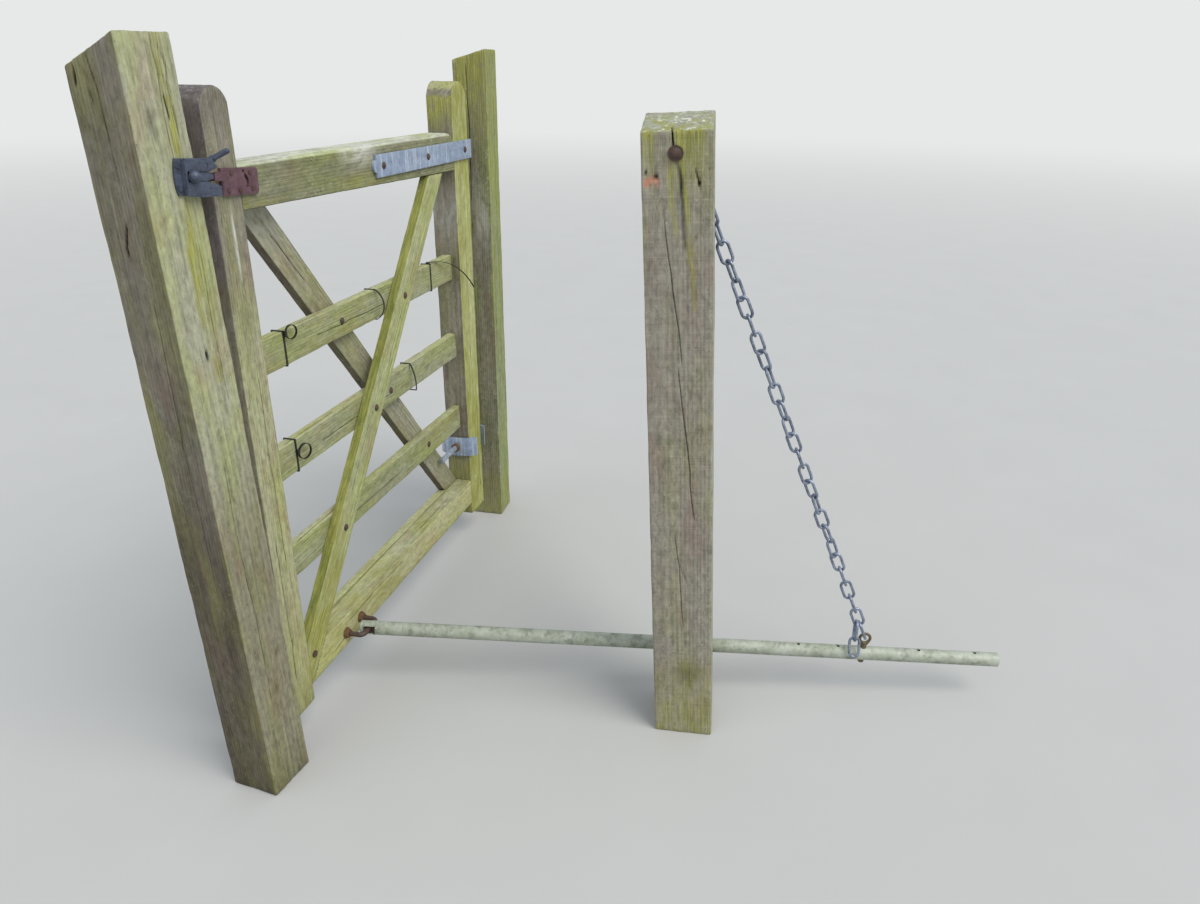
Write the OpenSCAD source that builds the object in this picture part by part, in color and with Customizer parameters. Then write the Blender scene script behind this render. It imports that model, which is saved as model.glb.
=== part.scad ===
// Timber path gate with a pole and chain closer, modelled closed and from ground level up.
// Millimetres. The origin is the centre of the hanging post's foot.
// X runs from the latch post to the hanging post, the pole hangs on the -Y side, Z is up.

/* [Posts] */

// Side of the square hanging post
hanging_post_side = 100; // [90:1:120]
// Height of the hanging post at its high front edge
hanging_post_height = 1461; // [1400:1:1600]
// Side of the square latch post
latch_post_side = 110; // [100:1:130]
// Height of the latch post at its high front edge
latch_post_height = 1453; // [1400:1:1600]
// Side of the square post that carries the chain
closer_post_side = 130; // [110:1:135]
// Height of the closer post at its low edge
closer_post_height = 1316; // [1310:1:1600]

/* [Gate] */

// Overall length of the gate from stile edge to stile edge
gate_length = 1126; // [1080:1:1126]
// Thickness of the stiles and the top rail
gate_thickness = 75; // [70:1:90]
// Height of the foot of both stiles above the ground
gate_foot = 80; // [50:1:100]
// Height of the rounded tops of both stiles
gate_top = 1377; // [1310:1:1550]
// Width of the stile at the latch
head_stile_width = 76; // [70:1:92]
// Width of the stile at the hinges
hinge_stile_width = 100; // [90:1:110]
// Thickness of the middle rails
rail_thickness = 25; // [20:1:30]
// Depth of the middle rails
rail_depth = 72; // [60:1:87]
// Width of both diagonal braces
brace_width = 70; // [58:1:84]
// Height of the top of the top rail
top_rail_height = 1248; // [1240:1:1290]
// Depth of the bottom rail
bottom_rail_depth = 80; // [66:1:96]

/* [Hinges] */

// Diameter of both hook pins
hook_diameter = 19; // [16:0.5:22]
// Diameter of the threaded rod of the bottom hinge
eye_rod_diameter = 16; // [13:0.5:18]
// Height of the top hinge strap
strap_height = 50; // [40:1:60]
// Length of the strap along the gate from the hinge stile's edge
strap_length = 570; // [475:1:690]

/* [Closer] */

// Outside diameter of the pole
pole_diameter = 33.7; // [28:0.1:34]
// Wall of the pole
pole_wall = 2.85; // [2.4:0.05:3.4]
// Length of the pole beyond its pivot on the staple
pole_reach = 1529; // [1400:1:1800]
// Diameter of the bent rod of the staple
staple_diameter = 12; // [10:0.5:13]
// Diameter of the chain's wire
chain_wire = 6.5; // [5.5:0.1:6.6]
// Inside width of a chain link
chain_inner_width = 16.5; // [16:0.1:18]
// Number of links that carry the pole
chain_links = 30; // [30:2:30]

/* [Latch] */

// Thickness of the cast body of the latch
latch_body_thickness = 14; // [12:0.5:16]
// Diameter of the round knob
knob_diameter = 20; // [16:1:22]
// Length of the striker plate
striker_length = 102; // [95:1:110]

/* [Fasteners] */

// Diameter of the bolts through the braces and the strap
bolt_diameter = 8; // [6:0.5:10]

/* [Hidden] */

$fn = 48;
bolt_gap = 0.2;
running_gap = 0.1;
face_gap = 0.3;

// Colours
old_pine = [0.62, 0.60, 0.42];
dark_pine = [0.45, 0.41, 0.33];
galvanised = [0.62, 0.65, 0.67];
rusty = [0.40, 0.22, 0.14];
cast_blue = [0.22, 0.25, 0.30];
maroon = [0.36, 0.18, 0.19];
brassy = [0.50, 0.40, 0.22];
black_nylon = [0.05, 0.05, 0.05];

// Posts, each leaning and turned as it stands
latch_post_lean = [-1.2, -0.86, 0];
latch_post_turn = -6.7;
latch_post_fall = 47;
hanging_post_turn = 3.75;
hanging_post_fall = 29;
closer_post_lean = [-3.3, -0.4, 0];
closer_post_turn = 6.6;
closer_post_rise = 26;
below = 60;

// The gate's leaf
hinge_x = -80;
hinge_y = 22.5;
gate_right = -110;
gate_left = gate_right - gate_length;
latch_post_foot = [gate_left - 80.5, 5, 0];
closer_post_foot = [gate_left + 342, -829, 0];
leaf_front = hinge_y - gate_thickness / 2;
leaf_back = hinge_y + gate_thickness / 2;
inner_left = gate_left + head_stile_width;
inner_right = gate_right - hinge_stile_width;
rail_front = hinge_y - rail_thickness / 2;
rail_back = hinge_y + rail_thickness / 2;
top_under_left = 1168;
top_under_right = 1149;
top_bevel = 9;
upper_rail_foot = 844;
middle_rail_foot = 611;
lower_rail_foot = 381;
bottom_rail_foot = 120;
bottom_rail_top = bottom_rail_foot + bottom_rail_depth;
brace_joint_gap = 3;
brace_foot_z = 118;
brace_head = [inner_right - 82, top_under_right + 1];
brace_foot = [inner_left, brace_foot_z];
brace_run = brace_head - brace_foot;
brace_angle = atan2(brace_run[1], brace_run[0]);
rear_brace_head = [inner_left + 82.8, top_under_left];
rear_brace_foot = [inner_right - 46.3, bottom_rail_foot + 80];
rear_brace_run = rear_brace_foot - rear_brace_head;
rear_brace_angle = atan2(rear_brace_run[1], rear_brace_run[0]);

// Hinges
strap_z = 1200;
strap_thickness = 6;
strap_end = hinge_x - 20;
strap_nose = gate_right - strap_length;
strap_tongue_r = 14;
strap_bolt_first = strap_nose + 47;
strap_bolt_last = gate_right - 37;
strap_bolt_x = [strap_bolt_first, (strap_bolt_first + strap_bolt_last) / 2, strap_bolt_last];
eye_outer = 32;
top_eye_half = 28;
pin_r = hook_diameter / 2;
top_hook_z = strap_z - top_eye_half - pin_r - 2.5;
eye_bore_r = pin_r + running_gap;
top_pin_height = 1240;
eye_rod_z = 318;
eye_rod_end = -343;
bottom_pin_height = 345;
bottom_eye_half = 10;
bottom_hook_z = eye_rod_z - bottom_eye_half - pin_r - 1.5;
hook_depth = 20;
saddle_radius = 82.6;
saddle_seat = 0.2;
saddle_thickness = 5;
saddle_height = 60;
saddle_x = inner_right - hollow_depth(saddle_radius) - saddle_seat;
rear_saddle_radius = 1.6 * gate_thickness;
rear_saddle_x = gate_right + hollow_depth(rear_saddle_radius) + saddle_seat;

// Depth of a curved plate's hollow across the edge of a stile
function hollow_depth(radius) = radius - sqrt(pow(radius, 2) - pow(gate_thickness / 2, 2));

// Latch, in the leaning post's own frame and turned a little clockwise
latch_centre = [45, 1240];
latch_turn = 5;
flange_thickness = 4;
flange_left = -42;
body_left = -28;
body_right = 41;
body_top = 28;
body_foot = -32;
channel_left = -24.5;
channel_half = 8;
channel_floor = 3;
bar_left = -14;
bar_tip = 31;
bar_gap = 0.5;
lever_pivot = [16.6, 17];
lever_low = 5.2;
lever_high = 9.2;
lever_pocket_gap = 0.5;
knob_centre = -14.5;
knob_base = latch_body_thickness + 0.7;
latch_screw_at = [[-34.5, 17], [-33.5, -18.5]];

// Striker plate, turned a little clockwise on the gate's face
striker_centre = [gate_left + 70, 1220];
striker_turn = 4;
striker_height = 46;
striker_thickness = 6;
arm_foot = 4;
arm_top = 17;
striker_screw_at = [[-41, 13], [-24, 14], [29, 14], [-35, -15], [-3, -16], [33, -13]];

// Pole and chain
staple_x = gate_left + 265;
staple_y = leaf_front - 44;
staple_z = 156;
staple_half = 35;
staple_r = staple_diameter / 2;
staple_bend = 12;
pole_pivot = [staple_x, staple_y, staple_z];
pole_run = [350, -1487.5, -52.9];
pole_run_length = norm(pole_run);
pole_turn = atan2(pole_run[1], pole_run[0]);
pole_tilt = asin(-pole_run[2] / pole_run_length);
pole_r = pole_diameter / 2;
pole_back = 20;
bush_half = 5;
bush_play = 0.5;
bush_flare = 1.8;
chain_at = 0.7855 * pole_run_length;
eye_height = 42.3;
eye_loop_r = 12.5;
eye_wire_r = 3.5;
eye_lean = 24.6;
ring_wire_r = 4;
ring_loop_r = 12;
// Middle of the ring in the closer post's frame, and where round it the chain pulls
ring_centre = [closer_post_side / 2 + 29.38, 2.42, 1277.55];
ring_pull = -65.55;
chain_top = from_closer_post(ring_centre + ring_loop_r * [cos(ring_pull), sin(ring_pull), 0]);
pole_up = [
  sin(pole_tilt) * cos(pole_turn),
  sin(pole_tilt) * sin(pole_turn),
  cos(pole_tilt)
];
pole_along = pole_run / pole_run_length;
chain_foot = pole_pivot + pole_along * (chain_at - eye_loop_r * sin(eye_lean))
  + pole_up * (eye_height + eye_loop_r * cos(eye_lean));
chain_run = chain_foot - chain_top;
chain_length = norm(chain_run);
chain_turn = atan2(chain_run[1], chain_run[0]);
chain_drop = asin(-chain_run[2] / chain_length);
link_r = chain_wire / 2;
link_play = 0.3;
open_play = 4;
last_inner_end = chain_length + eye_wire_r + open_play;
first_inner_start = -(ring_wire_r + link_play);
link_pitch = (last_inner_end - first_inner_start - link_play) / chain_links;
link_inner_length = link_pitch + link_play;
// Turn of the first link about the chain, so that it lies across the ring's wire
link_turn = 90;
// Place from the last link's inner end and turn of the two spare links, in the chain's frame
spare_link_at = [
  [[-46.1, 1.36, -5.96], [171.24, 26.3, -22.22]],
  [[-12.61, -12.39, -23.97], [82.33, 22.37, -19.52]]
];

// A point of the closer post's own frame, placed as the leaning post stands
function from_closer_post(p) = closer_post_foot + leaned(turned(p, closer_post_turn), closer_post_lean);
function turned(p, a) = [p[0] * cos(a) - p[1] * sin(a), p[0] * sin(a) + p[1] * cos(a), p[2]];
function leaned(p, a) =
  let (y = p[1] * cos(a[0]) - p[2] * sin(a[0]), z = p[1] * sin(a[0]) + p[2] * cos(a[0]))
  [p[0] * cos(a[1]) + z * sin(a[1]), y, z * cos(a[1]) - p[0] * sin(a[1])];

// A flat profile in x and z, given thickness between two values of y
module slab(y0, y1) {
  translate([0, y1, 0])
    rotate([90, 0, 0])
      linear_extrude(y1 - y0)
        children();
}

// A round bar along y
module bar_y(x, z, r, y0, y1) {
  translate([x, y0, z])
    rotate([-90, 0, 0])
      cylinder(h = y1 - y0, r = r);
}

// A round bar along x
module bar_x(x0, x1, y, z, r) {
  translate([x0, y, z])
    rotate([0, 90, 0])
      cylinder(h = x1 - x0, r = r);
}

// A square post with a sloping top, before it leans
module post_blank(side, front, back) {
  rotate([90, 0, 90])
    translate([0, 0, -side / 2])
      linear_extrude(side)
        polygon([[-side / 2, -below], [side / 2, -below], [side / 2, back], [-side / 2, front]]);
}

module ground_cut() {
  translate([-2000, -2000, -400])
    cube([4000, 4000, 400]);
}

module at_latch_post() {
  translate(latch_post_foot)
    rotate(latch_post_lean)
      rotate([0, 0, latch_post_turn])
        children();
}

module at_closer_post() {
  translate(closer_post_foot)
    rotate(closer_post_lean)
      rotate([0, 0, closer_post_turn])
        children();
}

module latch_post() {
  color(dark_pine)
    difference() {
      at_latch_post()
        post_blank(latch_post_side, latch_post_height, latch_post_height - latch_post_fall);
      ground_cut();
      at_latch()
        for (at = latch_screw_at)
          latch_screw_hole(at);
    }
}

module hanging_post() {
  color(dark_pine)
    difference() {
      rotate([0, 0, hanging_post_turn])
        post_blank(hanging_post_side, hanging_post_height, hanging_post_height - hanging_post_fall);
      ground_cut();
      bar_x(-120, hook_depth + face_gap, hinge_y, top_hook_z, pin_r + bolt_gap);
      bar_x(-120, hook_depth + face_gap, hinge_y, bottom_hook_z, pin_r + bolt_gap);
    }
}

module closer_post() {
  side = closer_post_side;
  color(dark_pine)
    difference() {
      at_closer_post()
        translate([0, side / 2, 0])
          rotate([90, 0, 0])
            linear_extrude(side)
              polygon([
                [-side / 2, -below],
                [side / 2, -below],
                [side / 2, closer_post_height + closer_post_rise],
                [-side / 2, closer_post_height]
              ]);
      ground_cut();
      at_closer_post()
        bar_x(-side / 2 - 10, side / 2 + 10, ring_centre[1], ring_centre[2], ring_wire_r + 1 + bolt_gap);
    }
}

// A stile with a round top
module stile(left, width) {
  slab(leaf_front, leaf_back)
    union() {
      translate([left, gate_foot])
        square([width, gate_top - gate_foot - width / 2]);
      translate([left + width / 2, gate_top - width / 2])
        circle(r = width / 2, $fn = 96);
    }
}

module head_stile() {
  color(old_pine)
    difference() {
      stile(gate_left, head_stile_width);
      striker_screw_holes();
    }
}

module hinge_stile() {
  color(old_pine)
    difference() {
      stile(inner_right, hinge_stile_width);
      bar_x(inner_right - 10, gate_right + 10, hinge_y, eye_rod_z, eye_rod_diameter / 2 + bolt_gap);
      strap_bolt_holes();
    }
}

module top_rail() {
  color(old_pine)
    difference() {
      intersection() {
        slab(leaf_front, leaf_back)
          polygon([
            [inner_left, top_under_left],
            [inner_right, top_under_right],
            [inner_right, top_rail_height],
            [inner_left, top_rail_height]
          ]);
        translate([inner_left, 0, 0])
          rotate([90, 0, 90])
            linear_extrude(inner_right - inner_left)
              polygon([
                [leaf_front, top_under_right - 10],
                [leaf_back, top_under_right - 10],
                [leaf_back, top_rail_height - top_bevel],
                [leaf_back - top_bevel, top_rail_height],
                [leaf_front + top_bevel, top_rail_height],
                [leaf_front, top_rail_height - top_bevel]
              ]);
      }
      striker_screw_holes();
      strap_bolt_holes();
    }
}

// A thin rail between the stiles
module thin_rail(foot) {
  difference() {
    translate([inner_left, rail_front, foot])
      cube([inner_right - inner_left, rail_thickness, rail_depth]);
    brace_bolt_holes();
  }
}

module upper_rail() {
  color(old_pine)
    thin_rail(upper_rail_foot);
}

module middle_rail() {
  color(old_pine)
    thin_rail(middle_rail_foot);
}

module lower_rail() {
  color(old_pine)
    thin_rail(lower_rail_foot);
}

// The front brace's outline, widened below by a gap
module front_brace_outline(gap) {
  intersection() {
    translate(brace_foot)
      rotate(brace_angle)
        translate([-200, -gap])
          square([2200, brace_width + gap]);
    polygon([
      [inner_left, brace_foot_z],
      [inner_right, brace_foot_z],
      [inner_right, top_under_right],
      [inner_left, top_under_left]
    ]);
  }
}

module rear_brace_outline() {
  intersection() {
    translate(rear_brace_head)
      rotate(rear_brace_angle)
        translate([-300, -brace_width / 2])
          square([2200, brace_width]);
    polygon([
      [inner_left, bottom_rail_top],
      [inner_right, bottom_rail_top],
      [inner_right, top_under_right],
      [inner_left, top_under_left]
    ]);
  }
}

module bottom_rail() {
  color(old_pine)
    difference() {
      translate([inner_left, leaf_front, bottom_rail_foot])
        cube([inner_right - inner_left, rail_back - leaf_front, bottom_rail_depth]);
      slab(leaf_front - 1, rail_front)
        front_brace_outline(brace_joint_gap);
      staple_holes();
      brace_bolt_holes();
    }
}

module bottom_rail_back() {
  color(old_pine)
    difference() {
      translate([inner_left, rail_back, bottom_rail_foot])
        cube([inner_right - inner_left, leaf_back - rail_back, bottom_rail_depth]);
      staple_holes();
    }
}

module front_brace() {
  color(old_pine)
    difference() {
      slab(leaf_front, rail_front)
        front_brace_outline(0);
      brace_bolt_holes();
    }
}

module rear_brace() {
  color(old_pine)
    difference() {
      slab(rail_back, leaf_back)
        rear_brace_outline();
      brace_bolt_holes();
    }
}

// Middle of the front brace at a height
function front_x(z) = brace_foot[0] + (z - brace_foot_z) / tan(brace_angle)
  - brace_width / 2 / sin(brace_angle);
// Middle of the rear brace at a height
function rear_x(z) = rear_brace_head[0] + (z - rear_brace_head[1]) / tan(rear_brace_angle);

rail_middles = [
  upper_rail_foot + rail_depth / 2,
  middle_rail_foot + rail_depth / 2,
  lower_rail_foot + rail_depth / 2
];
foot_bolt = [inner_left + 20, bottom_rail_foot + 70];

module brace_bolt_holes() {
  r = bolt_diameter / 2 + bolt_gap;
  for (z = rail_middles) {
    bar_y(front_x(z), z, r, leaf_front - 1, rail_back + 1);
    bar_y(rear_x(z), z, r, rail_front - 1, leaf_back + 1);
  }
  bar_y(foot_bolt[0], foot_bolt[1], r, leaf_front - 1, rail_back - 5);
}

// A domed bolt along y with a washer and a nut
module through_bolt(x, z, y0, y1) {
  r = bolt_diameter / 2;
  bar_y(x, z, r, y0 - 1, y1 + 9);
  bar_y(x, z, 2 * r, y0 - 1.5, y0);
  translate([x, y0 - 1.5, z])
    rotate([90, 0, 0])
      intersection() {
        translate([0, 0, 3.4 - 2.6 * r])
          sphere(r = 2.6 * r);
        cylinder(h = 4, r = 2 * r);
      }
  bar_y(x, z, 2.3 * r, y1, y1 + 1.6);
  translate([x, y1 + 1.6, z])
    rotate([-90, 0, 0])
      cylinder(h = 1.6 * r, r = 1.9 * r, $fn = 6);
}

module brace_bolts() {
  color(rusty) {
    for (z = rail_middles) {
      through_bolt(front_x(z), z, leaf_front, rail_back);
      through_bolt(rear_x(z), z, rail_front, leaf_back);
    }
    bar_y(foot_bolt[0], foot_bolt[1], bolt_diameter / 2, leaf_front - 1, rail_back - 5);
    bar_y(foot_bolt[0], foot_bolt[1], bolt_diameter, leaf_front - 3, leaf_front);
  }
}

// Top hinge: one strap on each face of the gate, joined past the stile at the eye
module top_hinge_strap() {
  t = strap_thickness;
  color(galvanised)
    difference() {
      union() {
        slab(leaf_front - t, leaf_front)
          strap_outline();
        slab(leaf_back, leaf_back + t)
          strap_outline();
        translate([strap_end - t, leaf_front - t, strap_z - strap_height / 2])
          cube([t, gate_thickness + 2 * t, strap_height]);
        translate([strap_end - 1, hinge_y - 8, strap_z - top_eye_half])
          cube([hinge_x - strap_end, 16, 2 * top_eye_half]);
        translate([hinge_x, hinge_y, strap_z - top_eye_half])
          cylinder(h = 2 * top_eye_half, r = eye_outer / 2);
      }
      translate([hinge_x, hinge_y, strap_z - 60])
        cylinder(h = 120, r = eye_bore_r);
      strap_bolt_holes();
    }
}

// The strap's face, with a round tongue in the middle of its far end
module strap_outline() {
  h = strap_height / 2;
  translate([strap_nose + strap_tongue_r, strap_z - h])
    square([strap_end - strap_nose - strap_tongue_r, strap_height]);
  translate([strap_nose + strap_tongue_r, strap_z])
    circle(r = strap_tongue_r);
}

module strap_bolt_holes() {
  for (x = strap_bolt_x)
    bar_y(x, strap_z, bolt_diameter / 2 + bolt_gap, leaf_front - 20, leaf_back + 20);
}

module top_hinge_bolts() {
  color(rusty)
    for (x = strap_bolt_x)
      through_bolt(x, strap_z, leaf_front - strap_thickness, leaf_back + strap_thickness);
}

// A hook driven into the hanging post, with an upright pin
module hook(z, top) {
  translate([hinge_x, hinge_y, z])
    cylinder(h = top - z - 2, r = pin_r);
  translate([hinge_x, hinge_y, top - 2])
    cylinder(h = 2, r1 = pin_r, r2 = pin_r - 2);
  translate([hinge_x, hinge_y, z])
    sphere(r = pin_r);
  bar_x(hinge_x, hook_depth, hinge_y, z, pin_r);
}

module top_hook() {
  color(galvanised)
    hook(top_hook_z, top_pin_height);
}

module bottom_hook() {
  color(galvanised)
    hook(bottom_hook_z, bottom_pin_height);
}

module bottom_eye_bolt() {
  color(galvanised)
    difference() {
      union() {
        bar_x(eye_rod_end, hinge_x - 10, hinge_y, eye_rod_z, eye_rod_diameter / 2);
        translate([hinge_x, hinge_y, eye_rod_z - bottom_eye_half])
          cylinder(h = 2 * bottom_eye_half, r = eye_outer / 2 + 1);
      }
      translate([hinge_x, hinge_y, eye_rod_z - 30])
        cylinder(h = 60, r = eye_bore_r);
    }
}

module bottom_hinge_nut() {
  color(rusty)
    difference() {
      translate([saddle_x - saddle_thickness - 12, hinge_y, eye_rod_z])
        rotate([0, 90, 0])
          cylinder(h = 12, r = eye_rod_diameter * 0.87, $fn = 6);
      bar_x(-400, -100, hinge_y, eye_rod_z, eye_rod_diameter / 2 + running_gap);
    }
}

// A curved plate round one edge of the stile, its hollow side towards the wood
module curved_plate(apex, radius, thickness, half, height, side) {
  translate([apex - side * radius, hinge_y, eye_rod_z - height / 2])
    intersection() {
      difference() {
        cylinder(h = height, r = radius + thickness, $fn = 180);
        translate([0, 0, -1])
          cylinder(h = height + 2, r = radius, $fn = 180);
      }
      translate([side > 0 ? 0 : -200, -half, 0])
        cube([200, 2 * half, height]);
    }
}

module saddle_plate() {
  color(galvanised)
    difference() {
      curved_plate(saddle_x, saddle_radius, saddle_thickness, 58.5, saddle_height, -1);
      bar_x(-400, -100, hinge_y, eye_rod_z, eye_rod_diameter / 2 + bolt_gap);
    }
}

module rear_saddle_plate() {
  color(galvanised)
    difference() {
      curved_plate(rear_saddle_x, rear_saddle_radius, saddle_thickness, 50, saddle_height + 6, 1);
      bar_x(-400, -60, hinge_y, eye_rod_z, eye_rod_diameter / 2 + bolt_gap);
    }
}

// Latch frame: u to the right, w up, and v out of the post's front face
module at_latch() {
  at_latch_post()
    translate([latch_centre[0], -latch_post_side / 2, latch_centre[1]])
      rotate([0, latch_turn, 0])
        children();
}

// A flat profile in u and w, given thickness between two values of v
module plate(v0, v1) {
  slab(-v1, -v0)
    children();
}

module latch_screw_hole(at) {
  bar_y(at[0], at[1], 2.6 + bolt_gap, -30, 26);
}

module latch_body() {
  color(cast_blue)
    at_latch()
      difference() {
        union() {
          plate(0, flange_thickness)
            intersection() {
              translate([flange_left, body_foot + 3])
                square([body_left - flange_left + 2, body_top - body_foot - 3]);
              translate([flange_left + 90, 0])
                circle(r = 90, $fn = 180);
            }
          plate(0, latch_body_thickness)
            polygon([
              [body_left, body_foot + 3],
              [body_left + 30, body_foot],
              [body_right + 4, body_foot],
              [body_right + 4, -16],
              [14, -channel_half],
              [channel_left, -channel_half],
              [channel_left, channel_half],
              [24, channel_half],
              [body_right, 14],
              [body_right - 3.5, 17],
              [body_right - 12, body_top],
              [body_left, body_top]
            ]);
          plate(0, channel_floor)
            polygon([
              [channel_left - 1, -channel_half - 1],
              [bar_tip - 6, -channel_half - 1],
              [bar_tip - 6, channel_half + 1],
              [channel_left - 1, channel_half + 1]
            ]);
        }
        lever_pocket();
        translate([lever_pivot[0], -latch_body_thickness - 1, lever_pivot[1]])
          rotate([-90, 0, 0])
            cylinder(h = latch_body_thickness + 2 - channel_floor, r = 4 + running_gap);
        for (at = latch_screw_at)
          latch_screw_hole(at);
      }
}

// Space in the body for the lever's flat shank to turn
module lever_pocket() {
  plate(lever_low - lever_pocket_gap, lever_high + lever_pocket_gap)
    union() {
      translate(lever_pivot)
        circle(r = 8.5);
      translate(lever_pivot)
        rotate(-8)
          polygon([[0, -8.5], [50, -8.5], [50, 0], [50 * cos(60), 50 * sin(60)], [-5, 8]]);
    }
}

module latch_lever() {
  tip = [47.7, 40.3];
  arm = [39, 27];
  r = 4.6;
  color(cast_blue)
    at_latch()
      union() {
        plate(lever_low, lever_high)
          union() {
            translate(lever_pivot)
              circle(r = 7.5);
            translate(arm)
              circle(r = 6);
            translate(lever_pivot)
              rotate(atan2(arm[1] - lever_pivot[1], arm[0] - lever_pivot[0]))
                translate([0, -5.4])
                  square([norm(arm - lever_pivot), 10.8]);
          }
        translate([lever_pivot[0], -latch_body_thickness + 1, lever_pivot[1]])
          rotate([-90, 0, 0])
            cylinder(h = latch_body_thickness - channel_floor - 1.5, r = 4);
        handle([arm[0], -6, arm[1]], [tip[0], -32, tip[1]], r);
      }
}

// A bar between two points
module bar(a, b, r) {
  d = b - a;
  translate(a)
    rotate([0, acos(d[2] / norm(d)), atan2(d[1], d[0])])
      cylinder(h = norm(d), r = r);
}

// A bar with a bevelled far end
module handle(a, b, r) {
  d = b - a;
  translate(a)
    rotate([0, acos(d[2] / norm(d)), atan2(d[1], d[0])])
      rotate_extrude()
        polygon([
          [0, 0],
          [r, 0],
          [r, norm(d) - 1],
          [r - 0.7, norm(d) + 1],
          [r - 2.2, norm(d) + 2.4],
          [0, norm(d) + 2.8]
        ]);
}

module latch_bolt() {
  t = latch_body_thickness;
  color(cast_blue)
    at_latch()
      union() {
        plate(channel_floor + face_gap, t - 2)
          polygon([
            [bar_left, bar_gap - channel_half],
            [14, bar_gap - channel_half],
            [bar_tip, -4],
            [bar_tip, 3],
            [20, channel_half - bar_gap],
            [bar_left, channel_half - bar_gap]
          ]);
        plate(t - 3, knob_base + 1)
          translate([bar_left + 4.2, 0])
            circle(r = 4);
        translate([knob_centre, -knob_base, 0])
          rotate([90, 0, 0])
            union() {
              cylinder(h = 3, r = knob_diameter / 2);
              translate([0, 0, 3])
                intersection() {
                  sphere(r = knob_diameter / 2);
                  cylinder(h = knob_diameter, r = knob_diameter);
                }
            }
      }
}

module latch_screws() {
  color(galvanised)
    at_latch()
      for (at = latch_screw_at) {
        bar_y(at[0], at[1], 2.6, -flange_thickness - 1, 25);
        bar_y(at[0], at[1], 4.8, -flange_thickness - 1.8, -flange_thickness);
      }
}

// Striker frame: p to the right, q up, on the gate's front face
module at_striker() {
  translate([striker_centre[0], leaf_front, striker_centre[1]])
    rotate([0, striker_turn, 0])
      children();
}

module striker_screw_holes() {
  at_striker()
    for (at = striker_screw_at)
      bar_y(at[0], at[1], 2.4 + bolt_gap, -20, 31);
}

module striker_plate() {
  t = striker_thickness;
  h = striker_height / 2;
  l = striker_length / 2;
  color(maroon)
    at_striker()
      difference() {
        union() {
          plate(0, t)
            union() {
              translate([-l, -h])
                square([2 * l - 7, 2 * h]);
              translate([l - 8, -h + 7])
                square([8, 2 * h - 14]);
              translate([l - 7, h - 7])
                circle(r = 7);
              translate([l - 7, 7 - h])
                circle(r = 7);
            }
          translate([0, 0, arm_foot])
            linear_extrude(arm_top - arm_foot)
              polygon([
                [-l + 4.5, -t + 1],
                [-l + 4.5, -t - 3],
                [-l - 8, -27],
                [-l - 45, -27],
                [-l - 45, -15],
                [-l - 18, -15],
                [-l - 10, -t + 2],
                [-l - 10, -0.5],
                [-l + 2, -0.5]
              ]);
        }
        for (at = striker_screw_at)
          bar_y(at[0], at[1], 2.4 + bolt_gap, -30, 2);
        bar_y(10, 17, 3, -10, 2);
        plate(-1, t + 1)
          difference() {
            translate([8, -2])
              circle(r = 16);
            translate([8, -2])
              circle(r = 9);
            translate([-30, -30])
              square([42, 60]);
            translate([0, -30])
              square([40, 20]);
          }
      }
}

module striker_screws() {
  color(galvanised)
    at_striker()
      for (at = striker_screw_at) {
        bar_y(at[0], at[1], 2.4, -striker_thickness - 1, 30);
        bar_y(at[0], at[1], 4.4, -striker_thickness - 1.5, -striker_thickness);
      }
}

module staple_holes() {
  for (side = [-1, 1])
    bar_y(staple_x + side * staple_half, staple_z, staple_r + bolt_gap, leaf_front - 1, leaf_back + 1);
}

module pole_staple() {
  color(rusty) {
    for (side = [-1, 1]) {
      bar_y(staple_x + side * staple_half, staple_z, staple_r, staple_y + staple_bend, leaf_back + 16);
      translate([staple_x + side * (staple_half - staple_bend), staple_y + staple_bend, staple_z])
        rotate([0, 0, side > 0 ? -90 : 180])
          rotate_extrude(angle = 90)
            translate([staple_bend, 0])
              circle(r = staple_r);
    }
    bar_x(
      staple_x - staple_half + staple_bend,
      staple_x + staple_half - staple_bend,
      staple_y, staple_z, staple_r
    );
  }
}

module staple_nuts() {
  color(rusty)
    difference() {
      for (side = [-1, 1]) {
        bar_y(staple_x + side * staple_half, staple_z, 14, leaf_front - 2, leaf_front);
        translate([staple_x + side * staple_half, leaf_front - 2, staple_z])
          rotate([90, 0, 0])
            cylinder(h = 8, r = 11.5, $fn = 6);
        bar_y(staple_x + side * staple_half, staple_z, 14, leaf_back, leaf_back + 2);
        translate([staple_x + side * staple_half, leaf_back + 2, staple_z])
          rotate([-90, 0, 0])
            cylinder(h = 9, r = 11.5, $fn = 6);
      }
      for (side = [-1, 1])
        bar_y(
          staple_x + side * staple_half, staple_z, staple_r + running_gap,
          leaf_front - 30, leaf_back + 30
        );
    }
}

// A short loose bush on the staple, round outside to turn in the mouth of the pole
module pole_bush() {
  h = bush_half;
  bore = staple_r + bush_play;
  outer = pole_r - pole_wall - face_gap;
  color(rusty)
    translate(pole_pivot)
      rotate([0, 90, 0])
        rotate_extrude()
          difference() {
            intersection() {
              circle(r = outer, $fn = 96);
              translate([0, -h])
                square([outer + 1, 2 * h]);
            }
            polygon([
              [-1, -h - 1],
              [bore + bush_flare * (h + 1) / h, -h - 1],
              [bore, 0],
              [bore + bush_flare * (h + 1) / h, h + 1],
              [-1, h + 1]
            ]);
          }
}

// Pole frame: x along the pole from its pivot, z up
module at_pole() {
  translate(pole_pivot)
    rotate([0, pole_tilt, pole_turn])
      children();
}

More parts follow.
